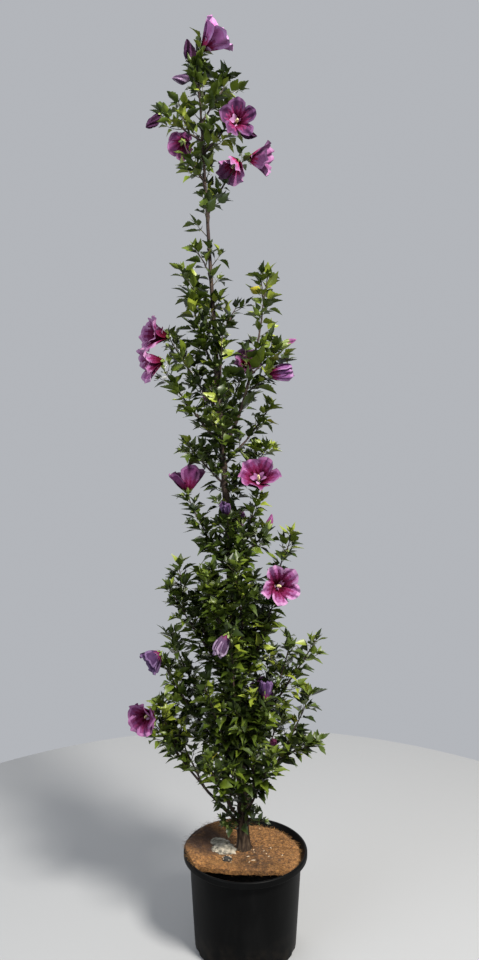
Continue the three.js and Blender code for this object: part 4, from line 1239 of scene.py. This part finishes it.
# %% Grow the twigs and the leaves
class Foliage:  # the tips are remembered for the green buds
    def __init__(self):
        self.twigs, self.stalks, self.leaf_count = Heap(), Heap(), 0
        self.leaves = {tone: Heap() for tone in TONES}
        self.tips = []

    def add_leaf(self, rng, line, twig, foot, heading, length, tone, upright=False):
        stalk = length * LEAF.stalk * rng.uniform(0.7, 1.3) * (0.25 if upright else 1)
        base = foot + heading * stalk
        aim = heading if upright else unit(heading * (1, 1, 0.6) + UP * rng.uniform(-0.20, 0.36))
        middle, tip = base + aim * length * 0.5, base + aim * length
        if not (has_room(base, line) and has_room(middle, line) and has_room(tip, line)):
            return False
        if not (is_free(middle, twig) and is_free(tip, twig)):
            return False
        take(middle, twig)
        take(tip, twig)
        face = unit(outwards(foot) * 0.16 + UP * 1.2 + np.array([rng.gauss(0, 0.36) for _ in range(3)]))
        kind = "slim" if rng.random() < (0.5 if upright else 0.3) else "broad"
        points, faces = blade(kind, base, aim, face, length, fold=rng.uniform(0.15, 0.95),
                              curl=rng.uniform(-0.12, 0.32), wave=rng.uniform(-0.35, 0.35))
        tone = "yellow" if rng.random() < LEAF.yellowed else tone
        self.leaves[tone].add(points, faces)
        self.leaf_count += 1
        if stalk > 0.004:
            sag = foot + heading * stalk * 0.55 + UP * stalk * 0.12
            radii = [LEAF.stalk_radius * share for share in (1.2, 1, 1)]
            self.stalks.add(*tube([foot, sag, base], radii, 3))
        return True

    def leaves_along(self, rng, line, path, start, twig, sizes, tone=None, lush=1):
        count = max(1, round(path.length * (1 - start) * lush / LEAF.apart))
        turn = rng.uniform(0, math.tau)
        for i in range(count):
            share = start + (1 - start) * (i + rng.uniform(0.2, 0.8)) / count
            foot = path.at(share)
            size = sizes[0] + (sizes[1] - sizes[0]) * share
            for attempt in range(TRIES):
                angle = turn + (i + attempt * 0.37) * GOLDEN
                heading = branching(path.heading(share), angle, rng.uniform(*LEAF.slant))
                length = size * rng.uniform(0.72, 1.12) * (1 - 0.16 * attempt)
                shade = tone or tone_for(foot, rng)
                if self.add_leaf(rng, line, twig, foot, heading, length, shade):
                    break

    def tuft(self, rng, line, path, twig, scale, tone=None):
        tip, heading = path.at(1), path.heading(1)
        shade = tone or tone_for(tip, rng)
        # Half the tufts take the next darker green, as more painted shade.
        shade = DARKER[shade] if rng.random() < 0.5 else shade
        self.tips.append((tip, heading, line))
        for i in range(rng.randint(*LEAF.tuft)):
            aim = branching(heading, i * GOLDEN, rng.uniform(8, 48))
            length = scale * rng.uniform(*LEAF.tuft_size)
            self.add_leaf(rng, line, twig, tip - heading * 0.002 * i, aim, length, shade, upright=True)

    def twig_from(self, rng, line, share, angle, scale):
        heading = branching(line.heading(share), angle, rng.uniform(*TWIG.slant))
        length = TWIG.shortest + (TWIG.longest - TWIG.shortest) * rng.random() ** 1.3
        length *= (1 - TWIG.shortening * share) * scale
        root = line.at(share)
        end = root + unit(heading + UP * 0.30) * length
        knee = root + heading * length * 0.55
        path = curve(root, knee, end, 6)
        return path if all(has_room(point, line) for point in (path.at(0.6), path.at(1))) else None

    def grow(self, rng, grown, line, start, lush):
        scale = grown.leaf_size
        count = round(line.length * (1 - start) * lush / TWIG.apart)
        turn = rng.uniform(0, math.tau)
        for i in range(count):
            share = start + (1 - start) * (i + rng.uniform(0.2, 0.6)) / count
            for attempt in range(TRIES):
                path = self.twig_from(rng, line, share, turn + (i + attempt * 0.4) * GOLDEN, scale)
                if path is None:
                    continue
                twig = (id(line), i)
                radii = np.linspace(TWIG.radius, TWIG.tip, len(path.points))
                self.twigs.add(*tube(path.points, radii, 5))
                tone = tone_for(path.at(0.7), rng)
                sizes = (LEAF.shortest * scale * 1.15, LEAF.shortest * scale * 0.75)
                self.leaves_along(rng, line, path, 0.2, twig, sizes, tone, lush)
                self.tuft(rng, line, path, twig, scale, tone)
                break
        stem = (id(line), "stem")
        sizes = (LEAF.longest * scale, LEAF.shortest * scale)
        self.leaves_along(rng, line, line, start, stem, sizes, lush=lush)
        self.tuft(rng, line, line, stem, scale * 1.1)

    def spurs(self, rng):
        count = round(TRUNK_LINE.length / SPUR.apart)
        for i in range(count):
            share = (i + rng.random()) / count
            heading = branching(TRUNK_LINE.heading(share), i * GOLDEN, rng.uniform(*SPUR.slant))
            root = TRUNK_LINE.at(share)
            if i % 2 and SPUR.sparse[0] < root[2] < SPUR.sparse[1]:
                continue
            path = Line([root, root + unit(heading + UP * 0.2) * rng.uniform(*SPUR.length)])
            twig = ("spur", i)
            self.twigs.add(*tube(path.part(0, 1, 3), [TWIG.radius * 1.2, TWIG.radius, TWIG.tip], 5))
            self.leaves_along(rng, TRUNK_LINE, path, 0.45, twig, (SPUR.leaf, SPUR.leaf * 0.8))
            self.tuft(rng, TRUNK_LINE, path, twig, 1.0)


def grow_foliage():
    foliage = Foliage()
    for index, grown in enumerate(LIMBS):
        rng = random.Random(101 + 37 * index)
        foliage.grow(rng, grown, grown.stem, max(grown.bare, grown.leaves_from), grown.lush)
        for line, lush in zip(grown.forks, grown.fork_lush):
            foliage.grow(rng, grown, line, 0.15, lush)
    foliage.spurs(random.Random(61))
    return foliage


foliage = grow_foliage()
print(foliage.leaf_count, "leaves on", len(foliage.tips), "tips")
print("faces of leaves:", {tone: len(heap.faces) for tone, heap in foliage.leaves.items()})

# %% Finish the leaves, the twigs and the leaf stalks
for tone, heap in foliage.leaves.items():
    leaf_skin = finish(f"{tone}_leaf", TONES[tone], grain=0.03, roughness=0.43, relief=0.0008, gloss=0.40)
    settle(heap.piece(f"leaves_{tone}"), leaf_skin, "foliage", *FOLIAGE)
TWIG_TONES = [(0.018, 0.014, 0.009), (0.050, 0.046, 0.018)]
STALK_TONES = [(0.050, 0.065, 0.015), (0.11, 0.12, 0.035)]
green_twig = finish("green_twig", TWIG_TONES, grain=0.01, roughness=0.6, gloss=0.25)
green_stalk = finish("green_stalk", STALK_TONES, grain=0.01, roughness=0.5)
settle(foliage.twigs.piece("twigs"), green_twig, "bark", *FOLIAGE)
settle(foliage.stalks.piece("leaf_stalks"), green_stalk, "foliage", *FOLIAGE)

# %% [markdown]
# ## Blossoms
# A flower of this shrub is a five-petalled funnel about a hand's width across. The petals are
# broad, a little crumpled at the margin, and each laps over the next one, so the whole flower
# looks slightly twisted. A petal starts as Blender's flat grid and is bent along a curve that
# leaves the flower's axis at one angle and ends at another. Where it ends wide the flower is
# open and flat, where it widens late it is a trumpet, and where it turns back in it is a
# goblet, a bell or a lantern.

# %% A petal from a flat grid
PETAL = SimpleNamespace(columns=14, rows=16, length=0.071, width=0.054, throat=0.0034, claw=0.20,
                        lap=0.22, ruffle=0.0048, pleat=0.0009)
BEND_STEPS = 30
SHAPES = {  # angle from the axis at the foot and the tip, how late it turns, how the petal cups, width
    "wide": SimpleNamespace(foot=26, tip=76, late=1.2, cup=0.14, width=1.0),
    "trumpet": SimpleNamespace(foot=15, tip=80, late=2.0, cup=0.16, width=0.96),
    "fan": SimpleNamespace(foot=22, tip=50, late=1.1, cup=0.14, width=1.04),
    "bowl": SimpleNamespace(foot=40, tip=58, late=1.2, cup=0.30, width=1.0),
    "goblet": SimpleNamespace(foot=44, tip=16, late=0.9, cup=0.20, width=0.94),
    "bell": SimpleNamespace(foot=38, tip=28, late=1.0, cup=0.20, width=0.98),
    "lantern": SimpleNamespace(foot=34, tip=-24, late=1.1, cup=0.22, width=0.80),
}


def arrays_of(shape):
    shape.verts.index_update()
    points = np.array([corner.co[:] for corner in shape.verts])
    faces = [[corner.index for corner in face.verts] for face in shape.faces]
    shape.free()
    return points, faces


def flat_grid(columns, rows):
    shape = bmesh.new()
    bmesh.ops.create_grid(shape, x_segments=columns, y_segments=rows, size=0.5)
    points, faces = arrays_of(shape)
    return points[:, :2] + 0.5, faces


def frame_of(heading, turn=0.0):
    side = across(heading)
    other = np.cross(side, heading)
    return side * math.cos(turn) + other * math.sin(turn), other * math.cos(turn) - side * math.sin(turn)


def bent(grid, seat, heading, turn, length, width, shape, rng, blunt=0.20, lap=PETAL.lap,
         throat=PETAL.throat):
    a, v = 2 * grid[:, 0] - 1, grid[:, 1]
    v = v * (1 - blunt * a * a * v)
    steps = np.linspace(0, 1, BEND_STEPS)
    angle = np.radians(shape.foot + (shape.tip - shape.foot) * steps ** shape.late)
    reach = throat + np.concatenate([[0], np.cumsum(np.sin(angle))[:-1]]) * length / (BEND_STEPS - 1)
    height = np.concatenate([[0], np.cumsum(np.cos(angle))[:-1]]) * length / (BEND_STEPS - 1)
    r, h, tilt = (np.interp(v, steps, row) for row in (reach, height, angle))
    spread = a * width / 2 * (PETAL.claw + (1 - PETAL.claw) * np.sin(np.pi * 0.60 * v ** 0.85) ** 1.15)
    wave, phase = rng.uniform(4, 8), rng.uniform(0, math.tau)
    lift = shape.cup * np.abs(spread) * np.abs(a) + lap * spread
    scale = length / PETAL.length
    lift += PETAL.ruffle * scale * v ** 3 * (np.sin(wave * a + phase) + 0.4 * np.sin(11 * a * v + phase))
    lift += PETAL.pleat * scale * np.sin(math.pi * v) * np.cos(3 * math.pi * a)
    out, level = frame_of(heading, turn)
    radial, axial = r - np.cos(tilt) * lift, h + np.sin(tilt) * lift
    return seat + np.outer(radial, out) + np.outer(spread, level) + np.outer(axial, heading)


PETAL_GRID, PETAL_FACES = flat_grid(PETAL.columns, PETAL.rows)
PETAL_MIDDLES = np.array([PETAL_GRID[face].mean(axis=0) for face in PETAL_FACES])
print("a petal has", len(PETAL_FACES), "faces")

# %% [markdown]
# ### Colour in zones
# The eye of the flower is dark crimson and runs out along the veins in rays. A rosy flush
# follows, then a blush that eases into the lilac or pink of the petal, and a paler margin. The
# faces of each petal are dealt out to one heap for each colour, so the colour lies exactly where
# the petal has it, and stays there when the model is exported. The petals are opaque, so flowers
# that the sun shines through have brighter tones of their own: ember and coral round the eye,
# then glow or sunlit.

# %% Colours of the petals
PETAL_TONES = {
    "eye": [(0.029, 0.00093, 0.0052), (0.062, 0.002, 0.01)],
    "flush": [(0.07, 0.004, 0.024), (0.12, 0.011, 0.05)],
    "blush": [(0.09, 0.012, 0.05), (0.15, 0.028, 0.088)],
    "ember": [(0.150, 0.008, 0.036), (0.240, 0.020, 0.070)],
    "coral": [(0.170, 0.028, 0.098), (0.270, 0.068, 0.180)],
    "rose": [(0.09, 0.019, 0.07), (0.145, 0.038, 0.113)],
    "rose_margin": [(0.16, 0.058, 0.14), (0.24, 0.1, 0.21)],
    "pink": [(0.16, 0.044, 0.13), (0.25, 0.09, 0.21)],
    "pink_margin": [(0.24, 0.11, 0.22), (0.34, 0.18, 0.31)],
    "glow": [(0.145, 0.046, 0.12), (0.215, 0.083, 0.185)],
    "glow_margin": [(0.18, 0.08, 0.165), (0.25, 0.125, 0.235)],
    "sunlit": [(0.27, 0.08, 0.225), (0.37, 0.135, 0.325)],
    "sunlit_margin": [(0.3, 0.125, 0.29), (0.4, 0.2, 0.4)],
    "plum": [(0.038, 0.0095, 0.035), (0.062, 0.02, 0.058)],
    "plum_margin": [(0.068, 0.025, 0.07), (0.105, 0.048, 0.108)],
    "wine": [(0.035, 0.004, 0.014), (0.06, 0.008, 0.028)],
    "wine_margin": [(0.06, 0.012, 0.035), (0.09, 0.022, 0.055)],
    "lilac": [(0.1, 0.034, 0.105), (0.16, 0.064, 0.17)],
    "lilac_margin": [(0.16, 0.075, 0.17), (0.24, 0.13, 0.25)],
    "dark": [(0.0085, 0.0018, 0.0066), (0.018, 0.0045, 0.015)],
    "dark_margin": [(0.027, 0.0085, 0.026), (0.045, 0.017, 0.046)],
    "violet": [(0.03, 0.013, 0.042), (0.053, 0.025, 0.07)],
    "violet_margin": [(0.074, 0.042, 0.1), (0.12, 0.074, 0.15)],
    "pale": [(0.052, 0.028, 0.06), (0.088, 0.05, 0.094)],
    "pale_margin": [(0.19, 0.125, 0.2), (0.27, 0.21, 0.285)],
    "cream": [(0.5, 0.4, 0.19), (0.68, 0.6, 0.4)],
}
LIT_THROUGH = ("glow", "sunlit")
BLOSSOM = {tone: Heap() for tone in PETAL_TONES}
GREEN_PARTS = Heap()
print(len(PETAL_TONES), "petal colours")

# %% Deal the faces of a petal out to colour heaps
ZONE = SimpleNamespace(rays=4, ray_reach=0.08, flush=0.20, blush=0.32, margin=0.88)


def add_by_zone(points, faces, zones):
    for zone in sorted(set(zones)):
        chosen = [face for face, name in zip(faces, zones) if name == zone]
        used = sorted({corner for face in chosen for corner in face})
        place = {corner: i for i, corner in enumerate(used)}
        heap = GREEN_PARTS if zone == "green" else BLOSSOM[zone]
        heap.add(points[used], [[place[corner] for corner in face] for face in chosen])


def deal(points, tint, eye):
    flush, blush = ("ember", "coral") if tint in LIT_THROUGH else ("flush", "blush")
    a, v = 2 * PETAL_MIDDLES[:, 0] - 1, PETAL_MIDDLES[:, 1]
    ray = v - ZONE.ray_reach * np.cos(math.pi * ZONE.rays * a) + 0.05 * a * a
    edge = np.maximum(v, 0.62 + 0.36 * np.abs(a) * (v > 0.45))
    skin = np.where(edge > ZONE.margin, f"{tint}_margin", tint)
    skin = np.where(ray < eye + ZONE.blush, blush, skin)
    skin = np.where(ray < eye + ZONE.flush, flush, skin)
    add_by_zone(points, PETAL_FACES, np.where(ray < eye, "eye", skin))


# %% [markdown]
# ### The middle and the back of a flower
# A cream column stands in the middle, set with anthers, and in the fuller flowers some of them
# have grown into small pale petals. Behind, the petals sit in a green cup of five pointed lobes
# with a ring of narrow bracts under it.

# %% Column, small petals and green cup
COLUMN = SimpleNamespace(length=0.030, radius=0.0019, anthers=34, anther=0.0014)
CUP = SimpleNamespace(length=0.019, width=0.011, bracts=7, bract=0.014, lobes=5)
SMALL_GRID, SMALL_FACES = flat_grid(4, 6)
LOBES = {
    "open": SimpleNamespace(foot=62, tip=8, late=1.2, cup=0.25),
    "shut": SimpleNamespace(foot=46, tip=-14, late=0.6, cup=0.35),
}


def ball():
    shape = bmesh.new()
    bmesh.ops.create_icosphere(shape, subdivisions=1, radius=1)
    return arrays_of(shape)


BALL_POINTS, BALL_FACES = ball()


def add_column(seat, heading, size, petaloids, rng):
    base = seat + heading * 0.004
    tip = base + heading * COLUMN.length * size
    radii = [COLUMN.radius * share for share in (1.4, 1, 0.8)]
    BLOSSOM["cream"].add(*tube([base, (base + tip) / 2, tip], radii, 6))
    for i in range(COLUMN.anthers):
        out, _ = frame_of(heading, i * GOLDEN)
        share = 0.35 + 0.65 * i / COLUMN.anthers
        centre = base + (tip - base) * share + out * (0.0042 - 0.002 * share) * size
        BLOSSOM["cream"].add(centre + BALL_POINTS * COLUMN.anther, BALL_FACES)
    for i in range(petaloids):
        shape = SimpleNamespace(foot=rng.uniform(15, 50), tip=rng.uniform(30, 120), late=1.2, cup=0.3)
        length = rng.uniform(0.017, 0.030) * size
        points = bent(SMALL_GRID, base + heading * rng.uniform(0, 0.010), heading, i * GOLDEN, length,
                      length * 0.55, shape, rng, blunt=0.35)
        BLOSSOM["rose_margin" if rng.random() < 0.5 else "pink_margin"].add(points, SMALL_FACES)


def add_cup(seat, heading, size, rng, lobes="open"):
    back = seat - heading * 0.004 * size
    GREEN_PARTS.add(*tube([back - heading * 0.004, back, back + heading * 0.006 * size],
                          [0.0014, 0.0034 * size, 0.0046 * size], 8))
    for i in range(CUP.lobes):
        points = bent(SMALL_GRID, back, heading, i / CUP.lobes * math.tau + 0.6, CUP.length * size,
                      CUP.width * size, LOBES[lobes], rng, blunt=0.55, lap=0, throat=0.0024)
        GREEN_PARTS.add(points, SMALL_FACES)
    for i in range(CUP.bracts):
        out, _ = frame_of(heading, i / CUP.bracts * math.tau)
        aim = unit(out * rng.uniform(0.7, 1.4) + heading * rng.uniform(0.1, 1))
        length = CUP.bract * size * rng.uniform(0.8, 1.2)
        points, faces = blade("slim", back, aim, heading, length, 0.2, rng.uniform(-0.4, 0.3), 0)
        GREEN_PARTS.add(points, faces)


# %% [markdown]
# ### Open flowers, lanterns, furled flowers and buds
# One function makes each kind. A furled flower is a spindle with five twisted flutes, where the
# rolled petals' margins lie. It is a grid once more, rolled up and closed at its ends. A bud is
# a smaller spindle, green up to its middle, in a cup that is still shut.

# %% A spindle of rolled petals
SPINDLE = SimpleNamespace(columns=36, rows=20, flutes=5, depth=0.20, twist=2.6, crumple=0.22)


def add_spindle(tint, seat, heading, length, radius, rng, crumple, fullest=0.42, green=0):
    turn = rng.uniform(0, math.tau)
    out, level = frame_of(heading, turn)
    bow = frame_of(heading, rng.uniform(0, math.tau))[0] * length * rng.uniform(0.02, 0.08)

    def place(u, v):
        angle = u * math.tau
        swell = math.sin(math.pi * (0.10 + 0.88 * v) ** (math.log(0.5) / math.log(0.10 + 0.88 * fullest)))
        flute = math.cos(SPINDLE.flutes * angle + SPINDLE.twist * v * math.pi)
        crest = 1 + SPINDLE.depth * (0.4 + v) * flute
        crest += crumple * v * rough(math.cos(angle), math.sin(angle), 3 * v + 9 * turn, 2.2)
        r = radius * max(swell, 0.05) ** 0.8 * crest
        point = seat + heading * length * v + bow * math.sin(math.pi * v)
        return Vector(point + r * (math.cos(angle) * out + math.sin(angle) * level))

    shape = closed(patch(SPINDLE.columns, SPINDLE.rows, place))
    zones = []
    for face in shape.faces:
        middle = np.array(face.calc_center_median()) - seat
        along = middle @ heading
        angle = math.atan2((middle - heading * along) @ level, (middle - heading * along) @ out)
        crest = math.cos(SPINDLE.flutes * angle + SPINDLE.twist * along / length * math.pi)
        petal = f"{tint}_margin" if crest > 0.72 or along > 0.93 * length else tint
        zones.append("green" if along < length * (green + 0.10 * crest) else petal)
    add_by_zone(*arrays_of(shape), zones)


# %% Make the flowers
PETALS = 5


def add_open(seat, heading, flower, rng):
    shape = SHAPES["lantern" if flower.kind == "lantern" else flower.shape]
    turn = rng.uniform(0, math.tau) if flower.turn is None else math.radians(flower.turn)
    width = PETAL.width * flower.size * shape.width * flower.slender
    for i in range(PETALS):
        own = SimpleNamespace(**vars(shape))
        own.foot += rng.uniform(-4, 4)
        own.tip += rng.uniform(-14, 14)
        if flower.hanging and i == 3:
            own.tip += flower.hanging
        length = PETAL.length * flower.size * rng.uniform(0.93, 1.04)
        round_by = turn + (i + rng.uniform(-0.08, 0.08)) * math.tau / PETALS
        points = bent(PETAL_GRID, seat, heading, round_by, length, width * rng.uniform(0.94, 1.04), own,
                      rng)
        deal(points, flower.tint, flower.eye)
    if flower.kind == "open":
        add_column(seat, heading, flower.size, flower.petaloids, rng)


def add_flower(grown, flower, rng):
    line = bloom_line(grown, flower)
    heading = facing(flower.azimuth, flower.elevation)
    root, seat = line.at(min(flower.at, 0.98)), bloom_seat(grown, flower)
    GREEN_PARTS.add(*tube([root, (root + seat) / 2, seat], [0.0013, 0.0013, 0.0018], 6))
    if flower.kind == "bud":
        add_cup(seat, heading, flower.size * 1.15, rng, "shut")
    else:
        add_cup(seat, heading, flower.size, rng)
    if flower.kind == "furled":
        length, radius = BLOOM.furled * flower.size, BLOOM.furled_radius * flower.size
        add_spindle(flower.tint, seat, heading, length, radius, rng, SPINDLE.crumple)
    elif flower.kind == "bud":
        length, radius = BLOOM.bud * flower.size, BLOOM.bud_radius * flower.size
        add_spindle(flower.tint, seat, heading, length, radius, rng, crumple=0.06, fullest=0.3, green=0.56)
    else:
        add_open(seat, heading, flower, rng)


for index, (grown, flower) in enumerate(FLOWERS):
    add_flower(grown, flower, random.Random(900 + index))
print(len(FLOWERS), "flowers and buds")

# %% [markdown]
# ### Green buds
# The tufts at the ends of the twigs hold round green buds, the flowers that are still to come,
# each in its ring of narrow bracts. They are more common higher up, where there is more light.

# %% Set green buds on the tips
GREEN_BUD = SimpleNamespace(share=0.42, more_above=0.12, sizes=(0.0030, 0.0048), bracts=5)


def add_green_buds():
    rng = random.Random(77)
    count = 0
    for tip, heading, line in foliage.tips:
        if rng.random() > GREEN_BUD.share + GREEN_BUD.more_above * tip[2]:
            continue
        aim = unit(heading + np.array([rng.gauss(0, 0.25) for _ in range(3)]))
        size = rng.uniform(*GREEN_BUD.sizes)
        centre = tip + aim * (size + 0.004)
        if not has_room(centre, line):
            continue
        GREEN_PARTS.add(*tube([tip, centre], [0.0008, 0.0010], 3))
        stretched = BALL_POINTS * size + np.outer(BALL_POINTS @ aim, aim) * size * 0.5
        GREEN_PARTS.add(centre + stretched, BALL_FACES)
        for i in range(GREEN_BUD.bracts):
            out, _ = frame_of(aim, i / GREEN_BUD.bracts * math.tau)
            bract = blade("slim", centre - aim * size, unit(out + aim * 0.8), aim, size * 2.8,
                          fold=0.1, curl=-0.3, wave=0)
            GREEN_PARTS.add(*bract)
        count += 1
    return count


print(add_green_buds(), "green buds")

# %% Finish the blossom and the green parts
for tone, heap in BLOSSOM.items():
    petal_skin = finish(f"{tone}_petal", PETAL_TONES[tone], grain=0.012, roughness=0.8,
                        relief=0.0004, gloss=0.05)
    settle(heap.piece(f"blossom_{tone}"), petal_skin, "foliage", *FOLIAGE)
BUD_TONES = [(0.075, 0.105, 0.016), (0.14, 0.18, 0.035)]
bud_green = finish("bud_green", BUD_TONES, grain=0.01, roughness=0.5, relief=0.0004)
settle(GREEN_PARTS.piece("calyxes_and_buds"), bud_green, "foliage", *FOLIAGE)

# %% [markdown]
# ## Size
# The finished model may not outgrow its measured solids.
